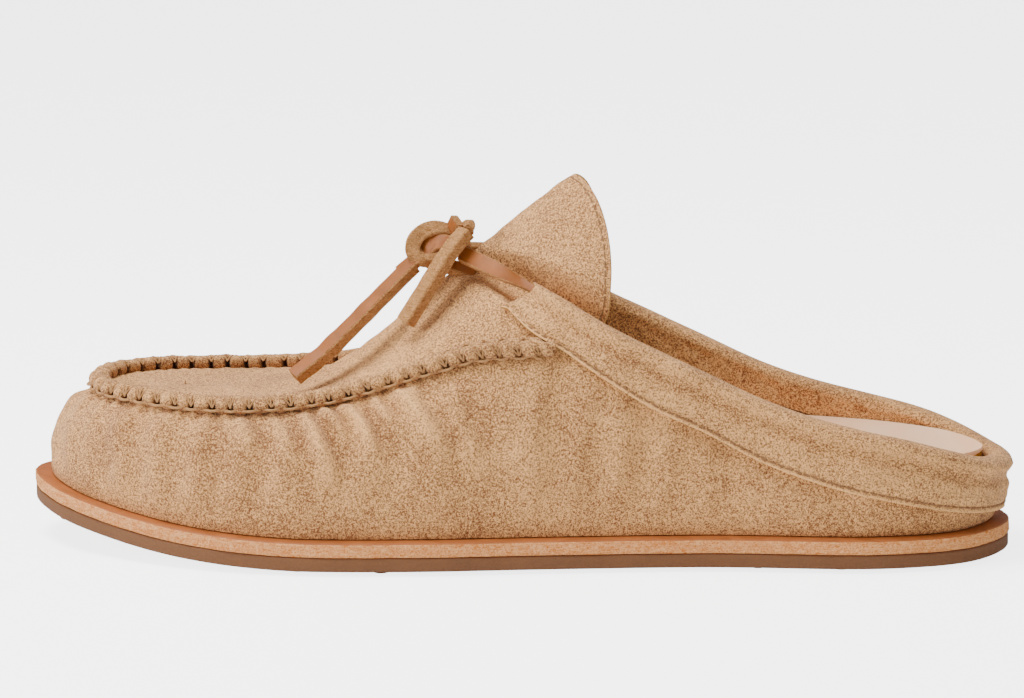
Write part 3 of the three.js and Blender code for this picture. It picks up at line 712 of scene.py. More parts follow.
def napGroup():
    # brushed nap: soft patches lying light or dark, short strokes and a fine grain
    ins = [
        ("Place", "NodeSocketVector", None),
        ("Light", "NodeSocketColor", (0.6, 0.4, 0.25, 1)),
        ("Dark", "NodeSocketColor", (0.4, 0.25, 0.15, 1)),
        ("Patches", "NodeSocketFloat", 1.0),
        ("Grain", "NodeSocketFloat", 1.0),
    ]
    tree, i, o = newGroup("napLook", ins, [("Color", "NodeSocketColor"), ("Height", "NodeSocketFloat")])
    big = noise(tree, i["Place"], 0.045, 2.0, 0.5, 0.6)
    patch = noise(tree, i["Place"], 0.16, 3.0, 0.6, 1.2)
    stroke = noise(tree, stretched(tree, i["Place"], 0.35, 0.7, 1.3), 0.55, 2.0, 0.6)
    fine = noise(tree, i["Place"], 1.5, 4.0, 0.75)
    spots = noise(tree, i["Place"], 3.6, 2.0, 0.6)
    soft = weighted(tree, [(big, 0.9), (patch, 0.45), (stroke, 0.35)])
    soft = mathNode(tree, "SUBTRACT", soft, 0.85)
    soft = mathNode(tree, "MULTIPLY", soft, i["Patches"])
    grain = weighted(tree, [(fine, 1.5), (spots, 1.7)])
    grain = mathNode(tree, "SUBTRACT", grain, 1.6)
    grain = mathNode(tree, "MULTIPLY", grain, i["Grain"])
    # the mesh's value: real tone (brushed nap, a pale raw edge) with painted highlights and painted shade,
    # added to the nap's level
    paintedLightAndTone = put(tree, "ShaderNodeAttribute", attribute_name="toneAndPaintedLight").outputs["Fac"]
    level = mathNode(tree, "ADD", mathNode(tree, "ADD", soft, grain), 0.5)
    level = mathNode(tree, "ADD", level, paintedLightAndTone, clamp=True)
    tree.links.new(mixColor(tree, level, i["Dark"], i["Light"]), o["Color"])
    tree.links.new(weighted(tree, [(fine, 0.7), (spots, 0.5)]), o["Height"])
    return tree


def grainGroup():
    # smooth leather: cloudy colour, fine pores and creases
    ins = [
        ("Place", "NodeSocketVector", None),
        ("Light", "NodeSocketColor", (0.6, 0.4, 0.25, 1)),
        ("Dark", "NodeSocketColor", (0.4, 0.25, 0.15, 1)),
        ("Scale", "NodeSocketFloat", 1.0),
        ("Contrast", "NodeSocketFloat", 1.0),
    ]
    tree, i, o = newGroup("leatherGrain", ins, [("Color", "NodeSocketColor"), ("Height", "NodeSocketFloat")])
    place = {0: i["Place"], "Scale": i["Scale"]}
    scaled = put(tree, "ShaderNodeVectorMath", place, operation="SCALE").outputs[0]
    cloud = noise(tree, scaled, 0.09, 4.0, 0.6, 0.8)
    pore = noise(tree, scaled, 1.9, 3.0, 0.6)
    cell = {"Vector": scaled, "Scale": 1.4}
    cells = put(tree, "ShaderNodeTexVoronoi", cell, feature="DISTANCE_TO_EDGE").outputs[0]
    level = weighted(tree, [(cloud, 1.5), (pore, 0.5)])
    level = mathNode(tree, "MULTIPLY", mathNode(tree, "SUBTRACT", level, 1.0), i["Contrast"])
    level = mathNode(tree, "ADD", level, 0.5, clamp=True)
    tree.links.new(mixColor(tree, level, i["Dark"], i["Light"]), o["Color"])
    edge = mathNode(tree, "MINIMUM", cells, 0.2)
    tree.links.new(weighted(tree, [(edge, 1.6), (pore, 0.4)]), o["Height"])
    return tree


def fuzzGroup():
    # cut edges and flesh sides: loose fibres lying across each other
    ins = [
        ("Place", "NodeSocketVector", None),
        ("Light", "NodeSocketColor", (0.7, 0.5, 0.35, 1)),
        ("Dark", "NodeSocketColor", (0.4, 0.25, 0.15, 1)),
        ("Contrast", "NodeSocketFloat", 1.0),
    ]
    tree, i, o = newGroup("fibreFuzz", ins, [("Color", "NodeSocketColor"), ("Height", "NodeSocketFloat")])
    layer = noise(tree, stretched(tree, i["Place"], 0.25, 0.25, 1.6), 1.3, 3.0, 0.7, 0.8)
    tuft = noise(tree, i["Place"], 1.1, 4.0, 0.75, 1.5)
    speck = noise(tree, i["Place"], 3.2, 2.0, 0.6)
    level = weighted(tree, [(layer, 0.7), (tuft, 1.2)])
    level = mathNode(tree, "ADD", level, mathNode(tree, "MULTIPLY", speck, 0.8))
    level = mathNode(tree, "MULTIPLY", mathNode(tree, "SUBTRACT", level, 1.35), i["Contrast"])
    level = mathNode(tree, "ADD", level, 0.5, clamp=True)
    tree.links.new(mixColor(tree, level, i["Dark"], i["Light"]), o["Color"])
    tree.links.new(mathNode(tree, "ADD", tuft, mathNode(tree, "MULTIPLY", speck, 0.5)), o["Height"])
    return tree


groups = {"nap": napGroup(), "grain": grainGroup(), "fuzz": fuzzGroup()}


def finish(
    name,
    kind,
    values,
    rough=0.9,
    sheen=0.0,
    bump=0.3,
    depth=0.15,
    shadeTo=None,
    coat=0.0,
    metal=0.0,
    roughBy=0.0,
):
    # a material around one of the groups; shadeTo is the colour of painted shade, reached where the mesh's
    # shade value is 1
    m = bpy.data.materials.new(name)
    m.use_nodes = True
    tree = m.node_tree
    tree.nodes.clear()
    out = tree.nodes.new("ShaderNodeOutputMaterial")
    shader = tree.nodes.new("ShaderNodeBsdfPrincipled")
    tree.links.new(shader.outputs[0], out.inputs[0])
    place = put(tree, "ShaderNodeAttribute", attribute_name="place").outputs["Vector"]
    look = tree.nodes.new("ShaderNodeGroup")
    look.node_tree = groups[kind]
    tree.links.new(place, look.inputs["Place"])
    for key, value in values.items():
        look.inputs[key].default_value = value
    color = look.outputs["Color"]
    if shadeTo is not None:
        w = put(tree, "ShaderNodeAttribute", attribute_name="shade").outputs["Fac"]
        color = mixColor(tree, w, color, shadeTo)
    tree.links.new(color, shader.inputs["Base Color"])
    if roughBy:
        lowest = rough - roughBy / 2
        spread = mathNode(tree, "MULTIPLY_ADD", look.outputs["Height"], roughBy, lowest, clamp=True)
        tree.links.new(spread, shader.inputs["Roughness"])
    else:
        shader.inputs["Roughness"].default_value = rough
    shader.inputs["Sheen Weight"].default_value = sheen
    shader.inputs["Sheen Roughness"].default_value = 0.6
    shader.inputs["Specular IOR Level"].default_value = 0.25 if sheen else 0.4
    shader.inputs["Coat Weight"].default_value = coat
    shader.inputs["Coat Roughness"].default_value = 0.35
    shader.inputs["Metallic"].default_value = metal
    lift = put(
        tree,
        "ShaderNodeBump",
        {"Height": look.outputs["Height"], "Strength": bump, "Distance": depth * mm * 4},
    )
    tree.links.new(lift.outputs[0], shader.inputs["Normal"])
    return m


# painted shade: the colour of the dark holes, creases and ridge bases on the moccasin seam
paintedCreaseShade = tint(70, 48, 34)
suedeTan = finish(
    "suedeTan",
    "nap",
    {"Light": tint(252, 210, 175, 1.14), "Dark": tint(130, 98, 82), "Patches": 0.9, "Grain": 3.2},
    rough=0.95,
    sheen=0.1,
    bump=0.45,
    shadeTo=paintedCreaseShade,
)
suedeInside = finish(
    "suedeInside",
    "nap",
    {"Light": tint(212, 180, 158), "Dark": tint(100, 82, 73), "Patches": 1.0, "Grain": 1.3},
    rough=0.95,
    sheen=0.08,
    bump=0.35,
)
rawEdge = finish(
    "rawEdge",
    "fuzz",
    {"Light": tint(240, 208, 170), "Dark": tint(186, 148, 112), "Contrast": 1.0},
    rough=0.97,
    bump=0.5,
)
russetGrain = finish(
    "russetGrain",
    "grain",
    {"Light": tint(172, 122, 96), "Dark": tint(132, 92, 70), "Scale": 1.6, "Contrast": 1.1},
    rough=0.5,
    bump=0.25,
    depth=0.08,
    coat=0.1,
)
laceFlesh = finish(
    "laceFlesh",
    "fuzz",
    {"Light": tint(222, 184, 154), "Dark": tint(122, 90, 68), "Contrast": 1.6},
    rough=0.95,
    bump=0.5,
)
weltSide = finish(
    "weltSide",
    "fuzz",
    {"Light": tint(255, 208, 178, 1.2), "Dark": tint(206, 144, 114), "Contrast": 2.4},
    rough=0.95,
    bump=0.6,
)
weltTopSkin = finish(
    "weltTopSkin",
    "grain",
    {"Light": tint(184, 134, 110), "Dark": tint(144, 100, 80), "Scale": 1.5, "Contrast": 1.2},
    rough=0.55,
    bump=0.2,
    depth=0.08,
)
soleRubber = finish(
    "soleRubber",
    "nap",
    {"Light": tint(138, 108, 90), "Dark": tint(104, 80, 66), "Patches": 0.5, "Grain": 0.5},
    rough=0.7,
    bump=0.12,
    depth=0.08,
)
studRubber = finish(
    "studRubber",
    "nap",
    {"Light": tint(196, 134, 84), "Dark": tint(160, 104, 62), "Patches": 0.5, "Grain": 0.35},
    rough=0.6,
    bump=0.1,
    depth=0.08,
)
sockLeather = finish(
    "sockLeather",
    "grain",
    {"Light": tint(255, 222, 202, 1.3), "Dark": tint(250, 204, 180, 1.3), "Scale": 1.0, "Contrast": 0.8},
    rough=0.6,
    bump=0.2,
    depth=0.06,
)
liningSkin = finish(
    "liningSkin",
    "grain",
    {"Light": tint(214, 176, 138), "Dark": tint(184, 144, 106), "Scale": 1.2, "Contrast": 0.8},
    rough=0.7,
    bump=0.2,
    depth=0.06,
)
seamThread = finish(
    "seamThread",
    "fuzz",
    {"Light": tint(216, 184, 156), "Dark": tint(148, 116, 92), "Contrast": 1.0},
    rough=0.85,
    bump=0.3,
)
stitchThread = finish(
    "stitchThread",
    "fuzz",
    {"Light": tint(178, 150, 128), "Dark": tint(128, 104, 86), "Contrast": 0.8},
    rough=0.85,
    bump=0.3,
)
corkBody = finish(
    "corkBody",
    "fuzz",
    {"Light": tint(196, 156, 110), "Dark": tint(128, 92, 60), "Contrast": 1.4},
    rough=0.95,
    bump=0.5,
)
boardBody = finish(
    "boardBody",
    "fuzz",
    {"Light": tint(188, 170, 140), "Dark": tint(150, 132, 106), "Contrast": 0.9},
    rough=0.95,
    bump=0.3,
)
stiffenerBody = finish(
    "stiffenerBody",
    "fuzz",
    {"Light": tint(232, 226, 212), "Dark": tint(196, 188, 172), "Contrast": 0.8},
    rough=0.95,
    bump=0.3,
)
shankSteel = finish(
    "shankSteel",
    "grain",
    {"Light": tint(170, 174, 178), "Dark": tint(128, 132, 138), "Scale": 0.6, "Contrast": 0.6},
    rough=0.35,
    bump=0.05,
    metal=1.0,
)


def floorAndLights():
    bpy.ops.mesh.primitive_plane_add(size=8, location=(0, 0, 0))
    floor = bpy.context.object
    floor.name = "studioFloor"
    m = bpy.data.materials.new("paleFloor")
    m.use_nodes = True
    shader = m.node_tree.nodes["Principled BSDF"]
    shader.inputs["Base Color"].default_value = (0.93, 0.93, 0.93, 1)
    shader.inputs["Roughness"].default_value = 0.9
    shader.inputs["Specular IOR Level"].default_value = 0.1
    shader.inputs["Emission Color"].default_value = (1, 1, 1, 1)
    seen = put(m.node_tree, "ShaderNodeLightPath").outputs["Is Camera Ray"]
    glow = mathNode(m.node_tree, "MULTIPLY", seen, studio["floorGlow"])
    m.node_tree.links.new(glow, shader.inputs["Emission Strength"])
    floor.data.materials.append(m)
    world = bpy.data.worlds.new("studioAir")
    world.use_nodes = True
    world.node_tree.nodes["Background"].inputs[0].default_value = (1.0, 1.0, 1.0, 1)
    world.node_tree.nodes["Background"].inputs[1].default_value = studio["air"]
    bpy.context.scene.world = world
    for name, place, size, power in studio["lamps"]:
        data = bpy.data.lights.new(name, "AREA")
        data.shape = "RECTANGLE"
        data.size, data.size_y = size
        data.energy = power
        lamp = bpy.data.objects.new(name, data)
        lamp.location = place
        lamp.rotation_euler = (-Vector(place)).to_track_quat("-Z", "Y").to_euler()
        bpy.context.collection.objects.link(lamp)


studio = {
    "air": 0.45,
    "floorGlow": 3.6,
    "lamps": [
        ("topSoft", (-0.3, -0.1, 0.9), (0.6, 0.4), 11.0),
        ("frontSoft", (-1.0, -0.5, 0.45), (0.4, 0.4), 8.0),
        ("sideSoft", (0.9, -0.6, 0.5), (0.4, 0.4), 1.5),
    ],
}
floorAndLights()
print("finishes, floor and lights ready")

# ---- lace ends, first because they hang free

lacePath = {
    "knotStation": 0.579,
    "knotLift": 10.0,
    "knotSide": -3.0,
    "longTail": [
        (-7.5, -2, -4.5),
        (-13, -4, -10),
        (-20, -6.5, -17),
        (-27, -9.5, -24),
        (-34, -12.5, -30.5),
        (-41, -15.5, -36),
    ],
    "endSize": (4.7, 3.5),
    "shortTail": [(8.5, -6, 6), (5, -8.5, 2), (1, -9.5, -4), (-3, -10.5, -10.5), (-8.8, -11.7, -20)],
}
knotFoot = ridgePoint(np.array(lacePath["knotStation"]))
knotAt = np.array([knotFoot[0], lacePath["knotSide"], knotFoot[2] + lacePath["knotLift"]])


def laceProfile(width=None, thick=None):
    # rounded corners; the side faces are cut edges, the top is grain and the bottom is flesh
    w, h = (width or shoe["lacing"][0]) / 2, (thick or shoe["lacing"][1]) / 2
    r = 0.35
    above = [(-w + r, h), (0, h + 0.12), (w - r, h), (w, h - r)]
    below = [(w, -h + r), (w - r, -h), (0, -h - 0.05), (-w + r, -h), (-w, -h + r)]
    pts = above + below + [(-w, h - r)]
    kinds = [0, 0, 1, 1, 1, 1, 1, 1, 1, 1]
    return np.array(pts), kinds


def laceRun(line, faceStart, faceEnd, turn=None):
    # the strap's grain side turns from one direction to another along the line
    way = tangents(line)
    w = np.linspace(0, 1, len(line))[:, None] if turn is None else turn[:, None]
    face = mix(np.asarray(faceStart, float), np.asarray(faceEnd, float), w)
    face = unit(face - way * (face * way).sum(-1, keepdims=True))
    side = np.cross(way, face)
    return line, face, side, np.ones(len(line))


def laceTail(name, offsets, node, faceStart, faceEnd):
    line = curveLine([knotAt + np.array(o) for o in offsets], 0.8)
    profile, kinds = laceProfile(*lacePath["endSize"])
    run = laceRun(line, faceStart, faceEnd)
    wobble = waves(9, seed=len(name))
    run = (run[0], run[1], run[2], 1.06 + 0.04 * wobble(line))
    tail = straps(name, [run], profile, [russetGrain, laceFlesh], kinds)
    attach(tail, "shoe")
    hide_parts(node)
    return tail


laceTail("laceTailLong", lacePath["longTail"], "lace_tail_long", (-0.5, -0.62, 0.6), (-0.45, -0.62, 0.65))
laceTail("laceTailShort", lacePath["shortTail"], "lace_tail_short", (0.7, 0.65, -0.3), (0.65, 0.75, -0.3))

# ---- sole


def roundedPlate(
    name, inset, bottom, top, corner, mats, side=6, columns=90, across=14, wobble=0.0, merge=0.02
):
    # a plate of the sole's outline with rounded edges
    s = np.linspace(0, 1, columns)
    p = (1 - np.cos(np.pi * s)) / 4
    a = np.linspace(0, np.pi / 2, side)
    levels = [(bottom + corner * (1 - math.cos(v)), corner * (1 - math.sin(v))) for v in a]
    levels += [(top - corner * (1 - math.cos(v)), corner * (1 - math.sin(v))) for v in a[::-1]]
    rough = waves(3.0, seed=31)

    def rim(q):
        cols = []
        for z, extra in levels:
            at, outward = edgePoint(q, np.full(len(q), inset + extra))
            ring = np.concatenate([at, (z + spring(at[:, 0]))[:, None]], 1)
            if wobble:
                ring[:, :2] += outward * (rough(ring * [1, 1, 2.5]) * wobble)[:, None]
            cols.append(ring)
        return np.stack(cols, 1)

    lateral, medial = rim(p), rim(np.mod(1 - p, 1))
    medial[0], medial[-1] = lateral[0], lateral[-1]
    w = np.linspace(0, 1, across)[None, 1:-1, None]
    deck = lateral[:, -1:, :] * (1 - w) + medial[:, -1:, :] * w
    deck[..., 2] = top + spring(deck[..., 0])
    outer = np.concatenate([lateral, deck, medial[:, ::-1]], 1)
    rows = outer.shape[1]
    w = np.linspace(0, 1, rows)[None, :, None]
    inner = lateral[:, :1, :] * (1 - w) + medial[:, :1, :] * w
    inner[:, 1:-1, 2] = bottom + spring(inner[:, 1:-1, 0])
    points = np.concatenate([outer.reshape(-1, 3), inner.reshape(-1, 3)])
    faces, kinds = shellFaces(columns, rows, False, False)
    faces = outwards(points, faces)
    # side rows take the first material, the deck the second
    row = faces.min(1) % rows
    edgeRow = (row < side + 2) | (row > rows - side - 4)
    kinds = np.where(kinds == 0, np.where(edgeRow, 0, 1), 0)
    return makeMesh(name, points, faces, mats, kinds, merge, 40)


midsoleLook = roundedPlate(
    "midsoleLook", 0.0, midsoleBottom - 0.25, weltTop, 0.7, [weltSide, weltTopSkin], wobble=0.12
)
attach(midsoleLook, "shoe")
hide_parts("midsole")
outsoleLook = roundedPlate(
    "outsoleLook", 0.15, shoe["studHeight"], outsoleTop, 0.8, [soleRubber, soleRubber], wobble=0.04
)
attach(outsoleLook, "shoe")


def insideOutline(at, margin):
    steps = 240
    edges, outward = edgePoint(np.arange(steps + 1) / steps, np.zeros(steps + 1))
    i = np.argmin(np.linalg.norm(edges - at, axis=1))
    return (at - edges[i]) @ outward[i] < -margin


def makeStuds():
    # small rounded studs under the rubber
    pitchX, pitchY = shoe["studPitch"]
    rows = math.ceil(shoe["width"] / 2 / pitchY)
    ranks = math.ceil(shoe["length"] / 2 / pitchX) * 2
    # radius and height up the stud's side
    drop = [(0.0, 0.0), (1.5, 0.0), (2.1, 0.12), (2.45, 0.45), (2.75, 0.95), (3.0, 1.6)]
    sides = 20
    points, faces = [], []
    for i in range(-ranks, ranks + 1):
        for j in range(-rows, rows + 1):
            at = np.array([i * pitchX / 2, j * pitchY])
            if (i + j) % 2 or not insideOutline(at, shoe["studEdge"]):
                continue
            base = len(points)
            lift = spring(at[0])
            for r, z in drop[1:]:
                for k in range(sides):
                    a = 2 * math.pi * k / sides
                    points.append((at[0] + r * math.cos(a), at[1] + r * math.sin(a), z + lift))
            faces.append([base + k for k in range(sides)])
            for level in range(len(drop) - 2):
                for k in range(sides):
                    n = (k + 1) % sides
                    low = base + level * sides
                    faces.append([low + k, low + sides + k, low + sides + n, low + n])
            top = base + (len(drop) - 2) * sides
            faces.append([top + k for k in range(sides)][::-1])
    return makeMesh("soleStuds", points, [f[::-1] for f in faces], [studRubber], sharp=60)


soleStuds = makeStuds()
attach(soleStuds, "shoe")
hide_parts("outsole")
print("sole made")

# ---- inside: footbed leather over the cork

rimLateral = curveThrough([(0, 4.5), (0.12, 6.5), (0.3, 6.5), (0.5, 4), (0.7, 1.5), (1, 0.8)])
rimMedial = curveThrough([(0, 4.5), (0.12, 7), (0.3, 10.5), (0.45, 11.5), (0.6, 6), (0.72, 1.5), (1, 0.8)])
footbedMiddle = curveThrough(
    [
        (0, shoe["footbedHeel"]),
        (0.2, shoe["footbedHeel"]),
        (0.45, shoe["footbedHeel"] * 0.95),
        (0.62, mix(shoe["footbedToe"], shoe["footbedHeel"], 0.5)),
        (0.75, shoe["footbedToe"]),
        (1, shoe["footbedToe"]),
    ]
)
boardInset = shoe["welt"] - liningIn + shoe["slack"] * 2
footbedDepth = bandInnerIn - shoe["slack"]


def footbedTop(x, across):
    rim = np.where(across < 0, rimLateral(stationAt(x)), rimMedial(stationAt(x)))
    return footbedBottom + spring(x) + footbedMiddle(stationAt(x)) + rim * np.abs(across) ** 3


def rimHeight(p):
    x = edgePoint(p, np.full(np.shape(p), boardInset))[0][..., 0]
    side = np.where(np.mod(p, 1) < 0.5, -1.0, 1.0)
    own, other = footbedTop(x, side), footbedTop(x, -side)
    return mix((own + other) / 2, own, np.minimum(1, np.abs(np.sin(2 * np.pi * p)) * 2.5))


def insideAt(p, height, depth):
    def under(t):
        return onForm(p, t, depth)[..., 2] < height

    return onForm(p, bisect(under, np.shape(p), 0.0, 0.9), depth)


def makeSock():
    look = {"columns": 110, "across": 30, "corner": 0.25, "dents": 0.12}
    s = np.linspace(0, 1, look["columns"])
    p = (1 - np.cos(np.pi * s)) / 4
    base = shoe["gap"]

    def edge(q, lift):
        return insideAt(q, rimHeight(q) + lift, footbedDepth)

    def surface(lift, trim):
        a, b = edge(p, lift), edge(np.mod(1 - p, 1), lift)
        a[0], b[0] = (a[0] + b[0]) / 2, (a[0] + b[0]) / 2
        width = np.linalg.norm(b - a, axis=1)
        w = np.linspace(0, 1, look["across"])
        hollow = smooth(width, 0, 40)[:, None]
        at = a[:, None, :] + (b - a)[:, None, :] * w[None, :, None]
        level = footbedTop(at[..., 0], np.broadcast_to(2 * w - 1, at.shape[:2])) + lift
        inner = (np.arange(len(w)) > 0) & (np.arange(len(w)) < len(w) - 1)
        at[..., 2] = np.where(inner, mix(at[..., 2], level, hollow), at[..., 2])
        at[:, 0, 2] -= trim
        at[:, -1, 2] -= trim
        return at

    top = surface(base + shoe["sock"], look["corner"])
    dent = waves(26, seed=5)
    top[:, 1:-1, 2] += (dent(top[:, 1:-1] * [1, 1, 0]) - 1) * look["dents"]
    return sheetPiece("sockLook", top, surface(base, 0), [sockLeather], merge=0.02)


sockLook = makeSock()
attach(sockLook, "shoe")
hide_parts("footbed_sock")

# ---- walls: vamp, quarters and their linings

seamGap = 0.6


def topOf(p, trim=seamGap):
    t = seamAt(p)
    return t - share(p, t, trim)


vampFrom = roundTo(lines["sideSeam"], -1) + shoe["gap"] / perimeter
vampTo = roundTo(lines["sideSeam"], 1) - shoe["gap"] / perimeter


def rowsUp(top, count, curl=1.0):
    # shares of the way up, closer together near the top
    w = np.linspace(0, 1, count) ** curl
    return top[:, None] * w[None, :]


skin = {
    "columns": 620,
    "rows": 64,
    "pleatPitch": 5.7,
    "pleatDepth": 1.5,
    "pleatRun": 13.0,
    "folds": 2.6,
    "lumps": 0.45,
    "toneAndPaintedLight": 0.6,
}


def pleats(p, t, top):
    # soft gathers that hang from the seam, each with its own strength and length
    r = np.random.default_rng(12)
    run = np.mod(p, 1) * perimeter
    drop = (top - t) / np.maximum(share(p, top, 1.0), 1e-9)
    value = np.zeros(np.shape(p))
    count = int(perimeter / skin["pleatPitch"]) + 2
    middle = (np.arange(count) + 0.5) * skin["pleatPitch"] + r.normal(0, 0.5, count)
    power = r.uniform(0.25, 1.0, count)
    length = skin["pleatRun"] * r.uniform(0.4, 1.25, count)
    lean = r.normal(0, 0.12, count)
    for m, k, l, s in zip(middle, power, length, lean):
        d = (run - m - s * drop) / (skin["pleatPitch"] * (0.26 + 0.012 * drop))
        fade = np.clip(1 - drop / l, 0, 1) ** 1.3
        value += k * np.exp(-d * d) * fade
    return value


softFolds = [
    # station and drop from the seam of each end, width and height in mm
    ((0.77, 0), (0.745, 20), 2.6, 0.4),
    ((0.733, -2), (0.7, 26), 2.6, 0.6),
    ((0.7, -3), (0.664, 34), 2.5, 1.0),
    ((0.675, -2), (0.65, 20), 1.8, 0.6),
    ((0.65, -4), (0.618, 30), 2.3, 1.0),
    ((0.622, -2), (0.6, 18), 1.8, 0.6),
    ((0.592, -1), (0.55, 32), 3.2, 0.9),
    ((0.56, 3), (0.52, 34), 3.6, 0.6),
]


foldHollow = {"deep": 0.6, "beside": 1.7}  # against the fold's own height and width


def foldRelief(p, drop):
    # a rise beside a hollow for each fold
    at = np.stack([welt(p) * shoe["length"], drop], -1)
    value = np.zeros(np.shape(p))
    for (s0, d0), (s1, d1), width, height in softFolds:
        a = np.array([s0 * shoe["length"], d0])
        b = np.array([s1 * shoe["length"], d1])
        run = b - a
        w = np.clip(((at - a) @ run) / (run @ run), 0, 1)
        side = ((at - a)[..., 0] * run[1] - (at - a)[..., 1] * run[0]) / np.linalg.norm(run)
        past = np.linalg.norm(at - a - w[..., None] * run, axis=-1)
        off = np.hypot(side, np.sqrt(np.maximum(past**2 - side**2, 0)))
        bent = np.sign(side) * off
        beside = bent + foldHollow["beside"] * width
        hollow = foldHollow["deep"] * np.exp(-((beside / width) ** 2))
        value += height * (np.exp(-((bent / width) ** 2)) - hollow) * np.sin(np.pi * w) ** 1.2
    return value


lumpy = waves(17, seed=3)
lumpyFine = waves(6.5, seed=8)
thinnest = 0.7  # a hollow's greatest share of its leather


def notBelow(value, floor):
    # eases a hollow off so that it goes no deeper than the leather allows
    start = floor / 2
    past = np.minimum(value - start, 0)
    return np.maximum(value, start) - start * np.tanh(past / -start)


def skinDepth(p, t, top, gathers=1.0):
    # how far the suede stands off the form: gathers under the seam, soft folds and lumps; and a colour value
    # with painted highlights on the raised gathers and folds, painted shade in their hollows and the brushed
    # nap's streaks
    at = formPoint(p, t)
    drop = (top - t) / np.maximum(share(p, top, 1.0), 1e-9)
    low = smooth(drop, 1.0, 6.0) * smooth(t, 0.02, 0.12)
    fine = lumpy(at) * skin["lumps"] * 1.6 + lumpyFine(at) * skin["lumps"] * 0.5
    fold = low * foldRelief(p, drop)
    ahead = smooth(welt(p), *lines["gathersStart"])
    gather = gathers * (pleats(p, t, top) - 0.25) * ahead * smooth(t, 0.05, 0.3)
    value = low * fine + fold * skin["folds"] + gather * skin["pleatDepth"]
    # painted light: lighter where the gathers and folds stand up and darker in their hollows, over the
    # brushed nap's own light streaks
    toneAndPaintedLight = np.clip((fold + gather) * skin["toneAndPaintedLight"], -0.3, 0.5)
    return notBelow(value, -thinnest * shoe["suede"]), toneAndPaintedLight


def wallSheet(name, p, top, gathers, mats, rows=None, curl=0.8):
    # a wall with its foot turned in under the insole board
    rows = rows or skin["rows"]
    t = rowsUp(top, rows, curl)
    pp = np.broadcast_to(p[:, None], t.shape)
    tt = np.broadcast_to(top[:, None], t.shape)
    depth, toneAndPaintedLight = skinDepth(pp, t, tt, gathers)
    outer = onForm(pp, t, depth)
    inner = onForm(pp, t, -shoe["suede"])

    def turned(inset, height):
        # the foot is pressed flat on the welt with a small round edge
        at = edgePoint(p, np.full(len(p), shoe["welt"] + inset))[0]
        if inset > 5:
            side = np.where(np.mod(p, 1) < 0.5, -1.0, 1.0)
            held = side * np.maximum(shoe["gap"], side * at[:, 1])
            at[:, 1] = np.where(at[:, 0] > shoe["length"] / 3, held, at[:, 1])
        return np.concatenate([at, (featherHeight + height + spring(at[:, 0]))[:, None]], 1)

    outer[:, 0] = turned(0.3, 0.0)
    inner[:, 0] = turned(shoe["suede"], shoe["suede"])
    outer = np.concatenate([turned(13, 0.0)[:, None], outer], 1)
    inner = np.concatenate([turned(13, shoe["suede"])[:, None], inner], 1)
    toneAndPaintedLight = np.concatenate([toneAndPaintedLight[:, :1], toneAndPaintedLight], 1)
    return sheetPiece(name, outer, inner, mats, toneAndPaintedLight=toneAndPaintedLight)


vampP = np.linspace(vampFrom, vampTo, skin["columns"])
vampLook = wallSheet("vampLook", vampP, topOf(vampP), 1.0, [suedeTan, suedeInside, rawEdge])
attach(vampLook, "shoe")
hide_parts("vamp")

laceDrop = shoe["band"] + shoe["lacing"][0] + shoe["slack"] * 3


def quarterTop(p):
    station = welt(p)
    top = crossing(p, collarTopAt)
    dip = 8 * smooth(station, lines["quarterStep"] - 0.05, lines["quarterStep"])
    low = top - share(p, top, laceDrop + shoe["slack"] + dip)
    return mix(low, topOf(p), smooth(station, lines["quarterStep"] - 0.002, lines["quarterStep"] + 0.002))


def makeQuarter(name, side, node):
    front = roundTo(lines["sideSeam"], side)
    heel = shoe["gap"] / perimeter
    climb = roundTo(lines["quarterStep"], side)
    ends = (heel, front) if side < 0 else (front, 1 - heel)
    close = climb + np.linspace(-4, 4, 17) / perimeter
    p = np.sort(np.unique(np.concatenate([np.linspace(ends[0], ends[1], 190), close])))
    piece = wallSheet(name, p, quarterTop(p), 0.4, [suedeTan, suedeInside, rawEdge], rows=44)
    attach(piece, "shoe")
    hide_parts(node)


makeQuarter("quarterLateralLook", -1, "quarter_lateral")
makeQuarter("quarterMedialLook", 1, "quarter_medial")


def makeSideSeam(name, side):
    # the front part is lapped over the quarter
    look = {"width": 0.8, "height": 0.6}
    p = np.full(60, roundTo(lines["sideSeam"], side))
    t = np.linspace(0.0, 1, 60) * topOf(p)
    t[0] = t[1] * 0.3
    normal, around, up = formFrame(p, t)
    line = onForm(p, t, skinDepth(p, t, topOf(p), 1.0)[0] - 0.12)
    profile = [(-1.8, -0.4), (-1.2, 0.12), (-0.2, 0.4), (0.5, 0.42), (0.85, 0.15), (0.95, -0.5)]
    shape = np.array(profile) * [look["width"], look["height"]]
    edge = straps(name, [(line, normal, -side * around, np.ones(60))], shape, [suedeTan])
    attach(edge, "shoe")


makeSideSeam("sideSeamLateral", -1)
makeSideSeam("sideSeamMedial", 1)


def innerFoot(p, depth):
    floor = boardBottom + shoe["slack"] * 2 + spring(edgePoint(p, np.full(len(p), shoe["welt"]))[0][:, 0])

    def under(t):
        return onForm(p, t, depth)[..., 2] < floor

    return bisect(under, p.shape, 0.0, 0.3)


def liningSheet(name, p, top, mats, node):
    low = innerFoot(p, liningIn)
    t = low[:, None] + (top - low)[:, None] * np.linspace(0, 1, 26)[None, :]
    pp = np.broadcast_to(p[:, None], t.shape)
    piece = sheetPiece(name, onForm(pp, t, liningOut), onForm(pp, t, liningIn), mats)
    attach(piece, "shoe")
    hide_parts(node)


